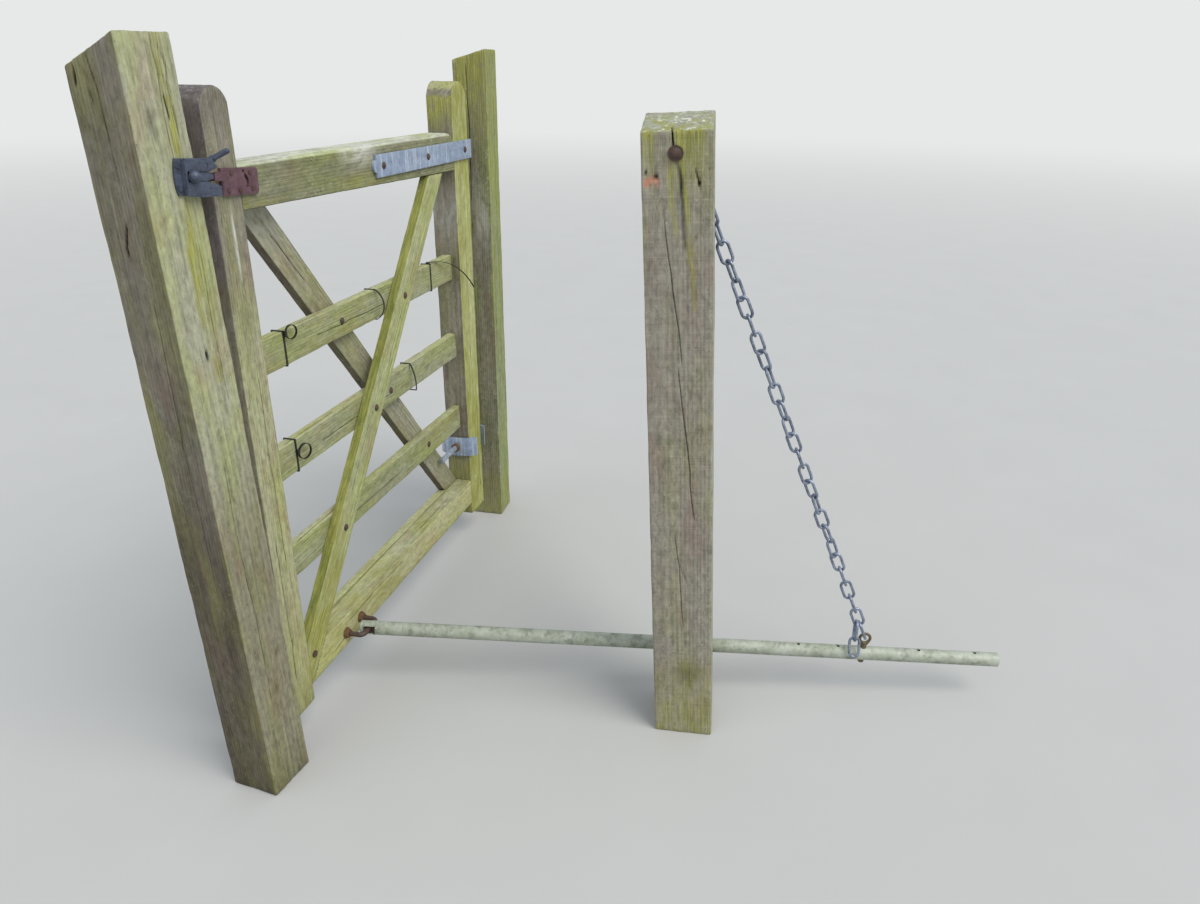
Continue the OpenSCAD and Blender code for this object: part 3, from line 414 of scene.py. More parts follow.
def timber(
    name, origin, axes, lit_tones, seed, pith=(0.0, 0.07, -0.09), algae=0.5,
    ends=None, grain=0.8, fibre=0.45, lichen=0.3, saw=0.0,
):
    """Weathered timber. looks gives a colour for the faces towards each side: x-, x+, y-, y+, up, down;
    these colours hold painted light and shade, lighter on faces the light falls on and darker on faces away
    from it and underneath, as well as the wood's own tone.
    ends is a darkening along the grain: from, to and its colour."""
    m = Mat(name)
    coords = m.add("ShaderNodeTexCoord")
    own = np.array(axes, float)
    if np.linalg.det(own) < 0:
        own[:, 2] *= -1
    rotation = Matrix(own.T.tolist()).to_euler("XYZ")
    start = -(own.T @ np.array(origin, float))
    q = m.stretch(coords.outputs["Object"], (1, 1, 1), tuple(rotation), tuple(start))
    mark = m.add("ShaderNodeAttribute", attribute_name="mark")
    marks = m.add("ShaderNodeSeparateColor", {0: mark.outputs["Color"]})
    crack, green, bare = marks.outputs[0], marks.outputs[1], marks.outputs[2]
    fresh = mark.outputs["Alpha"]
    rings_at = m.stretch(q, (0.05, 1, 1), (0, 0, 0), pith)
    ins = {"Vector": rings_at, "Scale": 46, "Distortion": 2.6, "Detail": 2.0, "Detail Scale": 1.6}
    wave = m.add("ShaderNodeTexWave", ins, wave_type="RINGS", rings_direction="X").outputs[1]
    r = m.stretch(q, (1, 1, 1), offset=(seed * 0.73, seed * 1.31, seed * 0.57))

    def pattern(cells, detail, rough, warp=0.0, offset=(0, 0, 0)):
        return m.noise(m.stretch(r, cells, offset=offset), 1.0, detail, rough, warp)

    def times(a, b, clamp=False):
        return m.math("MULTIPLY", a, b, clamp=clamp)

    streaks = pattern((6, 190, 190), 4, 0.6)
    fibres = pattern((16, 800, 800), 2, 0.6)
    mottle = pattern((50, 95, 95), 4, 0.62, 0.4)
    patches = pattern((5, 16, 16), 4, 0.6, offset=(3, 1, 2))
    drifts = pattern((7, 20, 20), 4, 0.62, offset=(9, 4, 7))
    blotches = pattern((16, 45, 45), 5, 0.65, 0.6, (1, 5, 2))
    normal = m.add("ShaderNodeSeparateXYZ", {0: coords.outputs["Normal"]})
    # Painted light and shade: each face takes the colour given for the way it faces, lighter where the
    # light falls and darker away from it and underneath, mixed with the wood's own tone.
    sides = ((0, -1), (0, 1), (1, -1), (1, 1), (2, 1), (2, -1))
    wood = lit_tones[2]
    for (axis, sign), lit_tone in zip(sides, lit_tones):
        facing = times(normal.outputs[axis], float(sign))
        wood = m.mix(m.ramp(facing, 0.45, 0.75), wood, lit_tone)
    if ends:
        low, high, dim = ends
        along = m.add("ShaderNodeSeparateXYZ", {0: q}).outputs[0]
        wood = m.tint(m.ramp(along, low, high), wood, dim)

    tone = 1.0
    for layer, depth in ((streaks, grain), (mottle, 1.25), (fibres, fibre), (wave, 0.17)):
        tone = m.math("MULTIPLY_ADD", layer, depth, m.math("SUBTRACT", tone, 0.5 * depth))
    wood = m.mix(1.0, wood, tone, "MULTIPLY")
    wood = m.tint(times(m.ramp(patches, 0.42, 0.66), algae), wood, (0.96, 1.0, 0.76))
    wood = m.tint(times(m.ramp(drifts, 0.50, 0.68), 0.7), wood, (0.97, 0.90, 0.90))
    wood = m.tint(times(m.ramp(blotches, 0.53, 0.70), 0.5), wood, (0.78, 0.76, 0.72))

    moss = m.mix(m.ramp(fibres, 0.35, 0.7), (0.47, 0.47, 0.22), (0.67, 0.67, 0.36))
    mossy = times(green, m.math("ADD", m.ramp(blotches, 0.3, 0.6), 0.25), clamp=True)
    wood = m.mix(mossy, wood, moss)
    specks = m.ramp(pattern((170, 330, 330), 2, 0.5), 0.66, 0.74)
    wood = m.mix(times(specks, 0.55), wood, (0.24, 0.22, 0.17))
    crust = m.ramp(pattern((120, 150, 150), 3, 0.6, offset=(7, 7, 7)), 0.58, 0.66)
    crust = times(crust, m.ramp(drifts, 0.56, 0.40))
    wood = m.mix(times(crust, lichen), wood, (0.74, 0.75, 0.66))
    worn = times(bare, m.math("ADD", m.ramp(blotches, 0.36, 0.56), 0.2), clamp=True)
    wood = m.mix(worn, wood, (0.80, 0.80, 0.76))
    wood = m.mix(fresh, wood, m.mix(streaks, (0.68, 0.47, 0.38), (0.80, 0.60, 0.50)))
    wood = m.mix(times(crack, 0.94), wood, (0.09, 0.075, 0.055))

    height = times(streaks, 0.7)
    for layer, share in ((fibres, 0.4), (wave, 0.25), (mottle, 0.4)):
        height = m.math("ADD", height, times(layer, share))
    if saw:
        lines = pattern((260, 9, 9), 4, 0.65, 0.3)
        height = m.math("ADD", height, times(lines, saw))
        shade = m.mix(m.ramp(lines, 0.35, 0.65), (0.93, 0.93, 0.93), (1.0, 1.0, 1.0))
        wood = m.tint(saw, wood, shade)
    rough = m.math("ADD", 0.80, times(streaks, 0.14))
    ins = {"Base Color": wood, "Roughness": rough, "Specular IOR Level": 0.25}
    return m.finish(ins, height, 0.0011, 0.9)


# The colours per facing below are partly the wood's own weathered tone and partly painted light and shade:
# faces the light falls on are lighter, faces away from it and the undersides darker.
SHADED_UNDERSIDE = (0.46, 0.44, 0.36)
LIT_TONES = {  # the colours of a timber's faces towards x-, x+, y-, y+, up and down
    "top": [
        (0.52, 0.50, 0.43), (0.52, 0.51, 0.40), (0.50, 0.50, 0.40),
        (0.54, 0.54, 0.44), (0.68, 0.69, 0.63), SHADED_UNDERSIDE,
    ],
    "middle": [
        (0.52, 0.50, 0.43), (0.52, 0.51, 0.40), (0.58, 0.59, 0.47),
        (0.54, 0.54, 0.44), (0.62, 0.62, 0.50), SHADED_UNDERSIDE,
    ],
    "bottom": [
        (0.55, 0.52, 0.44), (0.55, 0.53, 0.42), (0.70, 0.69, 0.53),
        (0.56, 0.56, 0.45), (0.61, 0.61, 0.48), SHADED_UNDERSIDE,
    ],
    "hinge": [
        (0.49, 0.47, 0.41), (0.52, 0.51, 0.41), (0.67, 0.68, 0.48),
        (0.54, 0.54, 0.42), (0.60, 0.60, 0.44), SHADED_UNDERSIDE,
    ],
    "head": [
        (0.55, 0.54, 0.47), (0.52, 0.51, 0.41), (0.64, 0.64, 0.51),
        (0.54, 0.54, 0.44), (0.50, 0.49, 0.43), SHADED_UNDERSIDE,
    ],
    "brace": [
        (0.42, 0.45, 0.24), (0.52, 0.51, 0.40), (0.64, 0.65, 0.49),
        (0.54, 0.54, 0.44), (0.42, 0.45, 0.24), SHADED_UNDERSIDE,
    ],
    "rear": [
        (0.54, 0.52, 0.45), (0.44, 0.42, 0.35), (0.57, 0.56, 0.48),
        (0.54, 0.54, 0.44), (0.56, 0.55, 0.48), (0.34, 0.31, 0.26),
    ],
    "latch": [
        (0.46, 0.44, 0.39), (0.50, 0.48, 0.40), (0.63, 0.63, 0.54),
        (0.50, 0.49, 0.41), (0.54, 0.54, 0.46), SHADED_UNDERSIDE,
    ],
    "hanging": [
        (0.51, 0.50, 0.42), (0.50, 0.48, 0.40), (0.53, 0.56, 0.42),
        (0.50, 0.49, 0.41), (0.58, 0.59, 0.44), SHADED_UNDERSIDE,
    ],
    "closer": [
        (0.56, 0.54, 0.49), (0.52, 0.50, 0.43), (0.60, 0.60, 0.57),
        (0.54, 0.52, 0.46), (0.60, 0.61, 0.54), SHADED_UNDERSIDE,
    ],
}
UP = np.eye(3)[:, [2, 0, 1]]
ZERO = (0, 0, 0)


# The functions called paint take the board's points q, as places along, across and through, where, which
# is the side of each point, the marks, and the shift of each point out of its side. The tuples that q is
# multiplied with are the noise's cells per metre.


def level(value):
    """An end of a board at one place along the grain."""
    return lambda v, w: np.full(np.shape(v), float(value))


def ground(origin, axes):
    """The foot of a leaning post, cut level at the ground."""
    return lambda v, w: -(origin[2] + v * axes[2, 1] + w * axes[2, 2]) / axes[2, 0]


def latch_post():
    axes = (turn(-1.2, -0.86, 0) @ turn(0, 0, -6.7))[:, [2, 0, 1]]
    foot = np.array((-1.3165, 0.005, 0))

    def latch_paint(q, where, mark, shift):
        left, front = where == LEFT, where == FRONT
        mark[:, MOSS] += front * 0.55 * unit(1 - abs(q[:, 1] - 0.022) / 0.024) * (q[:, 0] > 0.9)
        mark[:, MOSS] += left * 0.35 * unit(fractal(q * (4, 30, 30), 5))
        mark[:, DARK] += left * 0.22 * unit(fractal(q * (6, 50, 50), 15) + 0.2)
        mark[:, DARK] += (q[:, 0] < 0.12) * 0.3 * unit(1 - q[:, 0] / 0.12)
        return mark

    board(
        "latch_post_timber", "latch_post", "posts", "post_wood",
        timber(
            "latch_post_timber", foot, axes, LIT_TONES["latch"], 1,
            algae=0.6, lichen=0.1, ends=(0.9, 0.5, (0.82, 0.80, 0.78)),
        ),
        foot, axes, (-0.055, 0.055, -0.055, 0.055), ground(foot, axes),
        lambda v, w: 1.453 - 0.047 * (w + 0.055) / 0.11,
        seed=11, wave=0.0009, ridge=0.0004, wear=0.002, floor=True, paint=latch_paint, radius=0.0035,
        cracks=[
            crack_in(FRONT, 0.0011, 0.003, (1.452, 0.014), (1.427, 0.012), (1.398, 0.016), (1.33, 0.012),
                (1.25, 0.014), amount=0.65),
            crack_in(FRONT, 0.0013, 0.004, (1.438, 0.023), (1.406, 0.033), (1.382, 0.030), (1.30, 0.034),
                amount=0.7),
            crack_in(FRONT, 0.0022, 0.003, (1.365, 0.019), (1.33, 0.021)),
            crack_in(FRONT, 0.0011, 0.003, (1.14, 0.030), (1.00, 0.026), (0.86, 0.029), amount=0.65),
            crack_in(FRONT, 0.0011, 0.003, (0.74, -0.012), (0.60, -0.016), (0.41, -0.010), (0.22, -0.013),
                amount=0.65),
            crack_in(FRONT, 0.004, 0.003, (0.96, -0.0005), (0.948, -0.0005), taper=0),
            crack_in(LEFT, 0.0035, 0.003, (1.401, 0.034), (1.378, 0.039)),
            crack_in(LEFT, 0.0011, 0.003, (1.43, 0.006), (1.386, -0.001), (1.30, -0.003), amount=0.65),
            crack_in(LEFT, 0.003, 0.004, (1.174, 0.001), (1.139, 0.012), (1.128, 0.010)),
            crack_in(LEFT, 0.0026, 0.004, (1.366, 0.014), (1.361, 0.014), taper=0),
            crack_in(LEFT, 0.0011, 0.003, (1.05, -0.020), (0.80, -0.014), (0.52, -0.018), amount=0.65),
            stain_on(FRONT, 0.012, (1.342, -0.014), (1.318, -0.015), amount=0.75, taper=0),
            stain_on(FRONT, 0.007, (1.318, -0.015), (1.296, -0.014), amount=0.6),
            stain_on(FRONT, 0.009, (1.36, 0.027), (1.31, 0.024), (1.28, 0.021), channel=MOSS),
            stain_on(FRONT, 0.012, (1.20, 0.018), (1.11, 0.007), (1.0, 0.004), channel=MOSS),
            crack_in(CAP, 0.002, 0.005, (-0.02, -0.05), (0.0, 0.0), (0.03, 0.04)),
        ],
    )


def hanging_post():
    axes = turn(0, 0, 3.75)[:, [2, 0, 1]]

    def hanging_paint(q, where, mark, shift):
        mark[:, MOSS] += (where == FRONT) * 0.6 * unit(0.5 + fractal(q * (5, 20, 20), 8))
        mark[:, MOSS] += (where == LEFT) * 0.7 * unit((q[:, 0] - 1.15) / 0.2)
        mark[:, MOSS] += (where == LEFT) * 0.4 * unit((0.25 - q[:, 0]) / 0.2)
        worn = unit(1 - abs(q[:, 0] - 0.99) / 0.12) * (abs(q[:, 2] + 0.02) < 0.02)
        mark[:, BARE] += (where == LEFT) * 0.35 * worn
        return mark

    board(
        "hanging_post_timber", "hanging_post", "posts", "post_wood",
        timber("hanging_post_timber", ZERO, axes, LIT_TONES["hanging"], 2, algae=0.7, saw=0.3),
        ZERO, axes, (-0.05, 0.05, -0.05, 0.05), level(0),
        lambda v, w: 1.461 - 0.029 * (w + 0.05) / 0.1,
        seed=23, wave=0.0008, ridge=0.0004, wear=0.002, floor=True, paint=hanging_paint, radius=0.0035,
        cracks=[
            crack_in(FRONT, 0.0016, 0.005, (1.33, 0.012), (1.10, 0.008), (0.80, 0.012), (0.52, 0.006)),
            crack_in(FRONT, 0.0014, 0.004, (0.98, -0.024), (0.74, -0.028), (0.40, -0.022)),
            crack_in(LEFT, 0.0014, 0.004, (1.42, 0.010), (1.25, 0.006), (1.05, 0.010)),
            crack_in(CAP, 0.002, 0.005, (-0.03, -0.01), (0.0, 0.0), (0.04, 0.012)),
        ],
    )


def closer_post():
    axes = (turn(-3.3, -0.4, 0) @ turn(0, 0, 6.6))[:, [2, 0, 1]]
    foot = np.array((-0.894, -0.829, 0))

    def closer_paint(q, where, mark, shift):
        left, top = where == LEFT, where == CAP + 1
        s, t = q[:, 0], q[:, 2]
        patchy = unit(0.5 + fractal(q * (10, 60, 60), 31))
        mark[:, MOSS] += left * 0.75 * unit((s - 1.19) / 0.12) * patchy
        mark[:, MOSS] += left * 0.55 * unit((0.24 - s) / 0.22)
        mark[:, MOSS] += (where == FRONT) * 0.25
        chip = left & (s > 1.2225) & (s < 1.2405) & (t > 0.032) & (t < 0.0595)
        ragged = 0.0025 * noise(q * (1, 400, 400), 4)
        chip &= (s > 1.225 + ragged) & (s < 1.239 + ragged)
        shift[chip] -= 0.0018
        mark[:, FRESH] = np.maximum(mark[:, FRESH], chip * 1.0)
        grime = left * 0.5 * unit(1 - np.hypot((s - 0.172) / 0.045, (t + 0.012) / 0.045))
        mark[:, DARK] += grime
        mark[:, MOSS] += 1.2 * grime
        spots = unit(fractal(q * (1, 95, 160), 77, 3) * 3 - 1.1)
        mark[:, BARE] += top * spots
        mark[:, MOSS] += top * 0.8 * unit(fractal(q * (1, 50, 50), 41) + 0.1 - q[:, 1] * 9)
        return mark

    board(
        "closer_post_timber", "closer_post", "posts", "post_wood",
        timber(
            "closer_post_timber", foot, axes, LIT_TONES["closer"], 3,
            pith=(0, 0.012, -0.055), algae=0.4, saw=0.8, grain=0.5, fibre=0.2,
        ),
        foot, axes, (-0.065, 0.065, -0.065, 0.065), ground(foot, axes),
        lambda v, w: 1.316 + 0.026 * (v + 0.065) / 0.13,
        seed=37, wave=0.0008, ridge=0.0004, wear=0.0016, floor=True, paint=closer_paint, radius=0.003,
        step=0.003, ring=0.0075, cap_rings=14,
        cracks=[
            crack_in(LEFT, 0.0017, 0.012, (1.318, 0.0085), (1.304, 0.008), (1.284, 0.0065), taper=0,
                wander=0.3),
            crack_in(CAP, 0.0018, 0.010, (-0.064, 0.0085), (-0.053, 0.0085), (-0.045, 0.010)),
            crack_in(LEFT, 0.0015, 0.005, (1.249, -0.031), (1.236, -0.035), (1.222, -0.0385), amount=0.8),
            crack_in(LEFT, 0.0034, 0.008, (1.226, -0.038), (1.221, -0.039), taper=0),
            crack_in(LEFT, 0.0016, 0.002, (1.251, 0.063), (1.2435, 0.050), (1.2375, 0.030)),
            crack_in(LEFT, 0.0011, 0.004, (1.160, 0.024), (1.068, 0.014), (0.995, 0.006), (0.954, 0.0),
                (0.889, -0.005), amount=0.75),
            crack_in(LEFT, 0.0011, 0.004, (0.880, 0.002), (0.812, -0.005), (0.712, -0.016), (0.598, -0.022),
                (0.555, -0.028), amount=0.75),
            crack_in(LEFT, 0.0010, 0.003, (0.520, 0.014), (0.443, 0.005), (0.351, 0.002), (0.290, -0.002),
                amount=0.6),
            crack_in(LEFT, 0.0010, 0.002, (0.448, 0.005), (0.398, -0.013), amount=0.6),
            stain_on(LEFT, 0.0075, (1.27, 0.014), (1.233, 0.012), (1.181, 0.010), (1.155, 0.004),
                (1.12, -0.001), channel=MOSS),
            stain_on(LEFT, 0.009, (1.29, -0.004), (1.24, -0.012), (1.198, -0.016), (1.124, -0.020),
                (1.057, -0.027), (1.0, -0.031), channel=MOSS),
            stain_on(LEFT, 0.0066, (1.268, 0.002), (1.238, -0.006), (1.202, -0.007), (1.154, -0.012),
                (1.11, -0.015), amount=1.3),
            stain_on(LEFT, 0.010, (0.532, -0.016), (0.505, -0.018), amount=0.4),
            crack_in(FRONT, 0.0016, 0.005, (1.31, 0.02), (1.1, 0.012), (0.82, 0.018)),
            crack_in(BACK, 0.0016, 0.005, (1.31, -0.01), (1.0, -0.016), (0.62, -0.01)),
            crack_in(RIGHT, 0.0018, 0.006, (1.32, 0.01), (0.9, 0.004), (0.42, 0.012)),
        ],
    )


def leaf():
    left, right, front, back = -1.160, -0.210, -0.015, 0.060

    def stile(name, x0, x1, lit_tone, seed, paint, cracks, **more):
        half, middle, top = (x1 - x0) / 2, (x0 + x1) / 2, 1.377
        board(
            name + "_timber", name, "gate", "gate_wood",
            timber(name + "_timber", ZERO, UP, LIT_TONES[lit_tone], seed, (0, 0.02 * seed, -0.06), 0.6, **more),
            ZERO, UP, (x0, x1, front, back), level(0.080),
            lambda v, w: top - half + np.sqrt(np.maximum(half**2 - (v - middle) ** 2, 0)),
            seed=40 + seed, radius=0.0026, paint=paint, cracks=cracks, step=0.0034, cap_rings=12,
        )

    def head_paint(q, where, mark, shift):
        f = where == FRONT
        mark[:, MOSS] += f * 0.5 * unit((0.5 - q[:, 0]) / 0.4)
        mark[:, DARK] += f * 0.25 * unit((q[:, 0] - 1.30) / 0.06)
        mark[:, DARK] += 0.25 * unit((0.14 - q[:, 0]) / 0.06)
        return mark

    stile("head_stile", -1.236, -1.160, "head", 4, head_paint, [
        stain_on(FRONT, 0.0065, (1.185, -1.196), (1.15, -1.197), (1.10, -1.195), (1.05, -1.196),
            channel=BARE),
        stain_on(FRONT, 0.010, (1.02, -1.202), (0.93, -1.200), amount=0.35),
        crack_in(FRONT, 0.0013, 0.003, (0.86, -1.19), (0.70, -1.193), (0.46, -1.19)),
        crack_in(FRONT, 0.0013, 0.003, (0.52, -1.214), (0.30, -1.212), (0.16, -1.214)),
    ], ends=(0.80, 1.15, (0.83, 0.80, 0.90)))

    def hinge_paint(q, where, mark, shift):
        mark[:, MOSS] += (where == FRONT) * 0.75 * unit(0.7 + fractal(q * (4, 14, 14), 60))
        mark[:, MOSS] += (where == LEFT) * 0.8 * unit((q[:, 0] - 1.24) / 0.06)
        mark[:, MOSS] += (where == LEFT) * 0.5 * unit((0.34 - q[:, 0]) / 0.1)
        mark[:, BARE] += (where == LEFT) * 0.3 * unit(1 - abs(q[:, 0] - 1.03) / 0.09)
        return mark

    stile("hinge_stile", right, -0.110, "hinge", 5, hinge_paint, [
        crack_in(FRONT, 0.0013, 0.003, (0.96, -0.16), (0.80, -0.158), (0.60, -0.162)),
        crack_in(FRONT, 0.0013, 0.003, (0.50, -0.135), (0.30, -0.137), (0.15, -0.134)),
    ])

    def rail_paint(seed):
        def paint(q, where, mark, shift):
            mark[:, MOSS] += (where == FRONT) * 0.35 * unit(0.5 + fractal(q * (5, 20, 20), seed))
            mark[:, MOSS] += (where == RIGHT) * 0.5 * unit(0.4 + fractal(q * (7, 30, 30), seed + 3))
            return mark
        return paint

    rail_axes = np.eye(3)[:, [0, 2, 1]]

    def rail(name, lit_tone, z0, z1, y0, y1, seed, **more):
        more.setdefault("paint", rail_paint(seed))
        board(
            name + "_timber", name, "gate", "gate_wood",
            timber(name + "_timber", ZERO, rail_axes, LIT_TONES[lit_tone], seed, (0, 0.015 * seed, 0.05), 0.6),
            ZERO, rail_axes, (z0, z1, y0, y1), more.pop("start", level(left)), level(right),
            seed=60 + seed, radius=0.0024, **more,
        )

    def top_warp(q):
        share = unit((q[:, 0] - left) / (right - left))
        q[:, 1] += 0.019 * (1 - share) * unit((1.248 - q[:, 1]) / 0.099)
        drop = unit((q[:, 0] - (right - 0.030)) / 0.030)
        high = unit((q[:, 1] - 1.225) / 0.023)
        q[:, 1] -= high * 0.016 * (1 - np.sqrt(np.maximum(1 - drop**2, 0)))
        return q

    def top_paint(q, where, mark, shift):
        top = where == RIGHT
        mark[:, MOSS] += (where == FRONT) * 0.45 * unit(0.35 + fractal(q * (6, 25, 25), 66))
        bleached = unit(1 - abs(q[:, 0] + 0.73) / 0.10) * unit((q[:, 1] - 1.19) / 0.05)
        mark[:, BARE] += (where == FRONT) * 0.9 * bleached
        mark[:, BARE] += top * unit(0.35 + 0.5 * fractal(q * (12, 40, 40), 67)) * 0.8
        mark[:, MOSS] += top * np.clip((q[:, 0] + 0.62) / 0.3, 0, 0.5)
        return mark

    rail(
        "top_rail", "top", 1.149, 1.248, front, back, 6, warp=top_warp, paint=top_paint, cap_rings=8,
        radii=(0.003, 0.010, 0.010, 0.003), corner=(0.06, 0.94),
        cracks=[
            crack_in(RIGHT, 0.0013, 0.004, (-1.12, 0.022), (-0.92, 0.019), (-0.70, 0.024)),
            crack_in(RIGHT, 0.0013, 0.004, (-0.56, 0.010), (-0.40, 0.013)),
        ],
    )
    for name, foot, seed in (("upper_rail", 0.844, 7), ("middle_rail", 0.611, 8), ("lower_rail", 0.381, 9)):
        rail(
            name, "middle", foot, foot + 0.072, 0.010, 0.035, seed,
            cracks=[crack_in(RIGHT, 0.0012, 0.003, (-1.1, 0.018), (-0.9, 0.021)),
                    crack_in(FRONT, 0.0012, 0.002, (-0.80 - 0.02 * seed, foot + 0.03),
                        (-0.62, foot + 0.027))],
        )
    slope = math.atan2(1.032, 0.868)
    sin, cos, tan = math.sin(slope), math.cos(slope), math.tan(slope)

    def notch(v, w):
        brace = left + (v - 0.118) / tan + 0.003 / sin
        return np.where(w < 0.0098, np.maximum(brace, left), left)

    def bottom_paint(q, where, mark, shift):
        mark[:, MOSS] += (where == FRONT) * 0.5 * unit(0.4 + fractal(q * (5, 20, 20), 75))
        mark[:, MOSS] += (where == RIGHT) * 0.55 * unit(0.3 + fractal(q * (8, 30, 30), 76))
        mark[:, DARK] += 0.18 * (where == FRONT) * unit((0.135 - q[:, 1]) / 0.015)
        return mark

    rail(
        "bottom_rail", "bottom", 0.120, 0.200, front, 0.0345, 10,
        start=notch, paint=bottom_paint, step=0.0032,
        cracks=[
            crack_in(FRONT, 0.0014, 0.003, (-0.99, 0.178), (-0.86, 0.182), (-0.70, 0.179)),
            crack_in(FRONT, 0.0014, 0.003, (-1.06, 0.139), (-1.0, 0.148)),
            crack_in(RIGHT, 0.0012, 0.003, (-0.55, 0.004), (-0.35, 0.006)),
        ],
    )
    rail("bottom_rail_back", "bottom", 0.120, 0.2005, 0.0362, back, 11, paint=bottom_paint, cracks=[])
    axes = np.array([[cos, -sin, 0], [0, 0, 1], [sin, cos, 0]])

    def brace_start(v, w):
        return v * tan

    def brace_end(v, w):
        return (1.168 - 0.118 + 0.02 * sin * v - cos * v) / (sin + 0.02 * cos)

    def brace_paint(q, where, mark, shift):
        mark[:, MOSS] += (where == RIGHT) * 0.6
        mark[:, MOSS] += (where == FRONT) * 0.30 * unit(0.3 + fractal(q * (5, 30, 30), 80))
        mark[:, MOSS] += (where == FRONT) * 0.7 * unit((0.45 - q[:, 0]) / 0.3)
        mark[:, DARK] += (where == RIGHT) * 0.15 * unit(fractal(q * (14, 60, 60), 81))
        return mark

    board(
        "front_brace_timber", "front_brace", "gate", "gate_wood",
        timber("front_brace_timber", (left, 0, 0.118), axes, LIT_TONES["brace"], 12, (0, 0.05, 0.08), 0.6),
        (left, 0, 0.118), axes, (0, 0.070, front, 0.0098), brace_start, brace_end,
        seed=81, radius=0.0024, paint=brace_paint,
        cracks=[
            crack_in(FRONT, 0.0012, 0.003, (1.12, 0.03), (0.98, 0.028), (0.80, 0.032)),
            crack_in(FRONT, 0.0012, 0.003, (0.62, 0.05), (0.45, 0.048)),
        ],
    )
    angle = math.radians(-49.7)
    c, s = math.cos(angle), math.sin(angle)
    axes = np.array([[c, -s, 0], [0, 0, 1], [s, c, 0]])
    mx, mz = -0.6324, 0.6435

    def rear_start(v, w):
        return -(1.1665 - mz - c * v) / -s

    def rear_end(v, w):
        return (mz + c * v - 0.200) / -s

    def rear_paint(q, where, mark, shift):
        mark[:, BARE] += (where == FRONT) * 0.3 * unit((-0.52 - q[:, 0]) / 0.1)
        mark[:, MOSS] += (where == FRONT) * 0.25 * unit(0.3 + fractal(q * (5, 30, 30), 86))
        return mark

    board(
        "rear_brace_timber", "rear_brace", "gate", "gate_wood",
        timber("rear_brace_timber", (mx, 0, mz), axes, LIT_TONES["rear"], 13, (0, 0.03, 0.08), 0.45),
        (mx, 0, mz), axes, (-0.035, 0.035, 0.0352, back), rear_start, rear_end,
        seed=91, radius=0.0024, paint=rear_paint,
        cracks=[crack_in(FRONT, 0.0012, 0.003, (-0.6, 0.0), (-0.45, 0.004))],
    )


# Metal
def metal(
    name, base, shade, rust=0.3, rust_colour=(0.42, 0.24, 0.15), metallic=0.35, rough=0.5,
    streak=None, scale=1.0, grime=0.4, light=(0.80, 0.84, 0.88),
):
    """Weathered metal between two tones, base and shade, with light spangles, dirt and spots of rust.
    streak gives the cells per metre of light lines along one way."""
    m = Mat(name)
    place = m.add("ShaderNodeTexCoord").outputs["Object"]
    cells = m.add("ShaderNodeTexVoronoi", {"Vector": place, "Scale": 260 * scale}).outputs["Color"]
    cell = m.add("ShaderNodeSeparateColor", {0: cells}).outputs[0]
    clouds = m.noise(place, 55 * scale, 5, 0.62)
    fine = m.noise(place, 420 * scale, 4, 0.6)
    body = m.mix(m.ramp(clouds, 0.3, 0.7), shade, base)
    body = m.mix(m.math("MULTIPLY", cell, 0.22), body, light)
    if streak:
        lines = m.noise(m.stretch(place, streak), 1.0, 4, 0.6)
        body = m.mix(m.math("MULTIPLY", m.ramp(lines, 0.48, 0.66), 0.6), body, light)
    dirt = m.ramp(m.noise(place, 90 * scale, 5, 0.65, 0.4), 0.50, 0.68)
    body = m.mix(m.math("MULTIPLY", dirt, grime), body, (0.24, 0.23, 0.19))
    moved = m.stretch(place, (1, 1, 1), offset=(4, 9, 2))
    spots = m.ramp(m.noise(moved, 120 * scale, 5, 0.7), 0.72 - 0.42 * rust, 0.80 - 0.36 * rust)
    rusted = m.mix(m.ramp(fine, 0.35, 0.7), rust_colour, tuple(min(1, 1.55 * c) for c in rust_colour))
    body = m.mix(spots, body, rusted)
    height = m.math("ADD", m.math("MULTIPLY", fine, 0.5), m.math("MULTIPLY", spots, 0.7))
    shine = m.math("MULTIPLY", m.math("SUBTRACT", 1.0, spots), metallic)
    roughness = m.math("ADD", rough, m.math("MULTIPLY", spots, 0.3), clamp=True)
    return m.finish({"Base Color": body, "Metallic": shine, "Roughness": roughness}, height, 0.0004, 0.7)


WELD = 0.00002  # points of the CAD's faces that are this near are one
SHARP = 35  # degrees between faces, from which an edge stays sharp


def clad(mesh, material, sharp=SHARP):
    mesh.materials.clear()
    mesh.materials.append(material)
    for polygon in mesh.polygons:
        polygon.use_smooth = True
    mesh.set_sharp_from_angle(angle=math.radians(sharp))


def soften(node, material, body, width):
    """The node's own shape with its sharp edges rounded a little."""
    mesh = nodes[node].data.copy()
    mesh.name = node + "_worn"
    bm = bmesh.new()
    bm.from_mesh(mesh)
    bmesh.ops.remove_doubles(bm, verts=bm.verts, dist=WELD)
    bmesh.ops.dissolve_degenerate(bm, edges=bm.edges, dist=0.00001)
    bmesh.ops.dissolve_limit(bm, angle_limit=math.radians(0.6), verts=bm.verts, edges=bm.edges)
    bend = math.radians(32)
    sharp = [e for e in bm.edges if len(e.link_faces) == 2 and e.calc_face_angle(0) > bend]
    bmesh.ops.bevel(
        bm, geom=sharp, offset=width, segments=2, profile=0.6, affect="EDGES", clamp_overlap=True
    )
    bmesh.ops.triangulate(bm, faces=[f for f in bm.faces if len(f.verts) > 4])
    bm.to_mesh(mesh)
    bm.free()
    clad(mesh, material)
    piece = bpy.data.objects.new(node + "_worn", mesh)
    scene.collection.objects.link(piece)
    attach(piece, body)
    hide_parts(node)


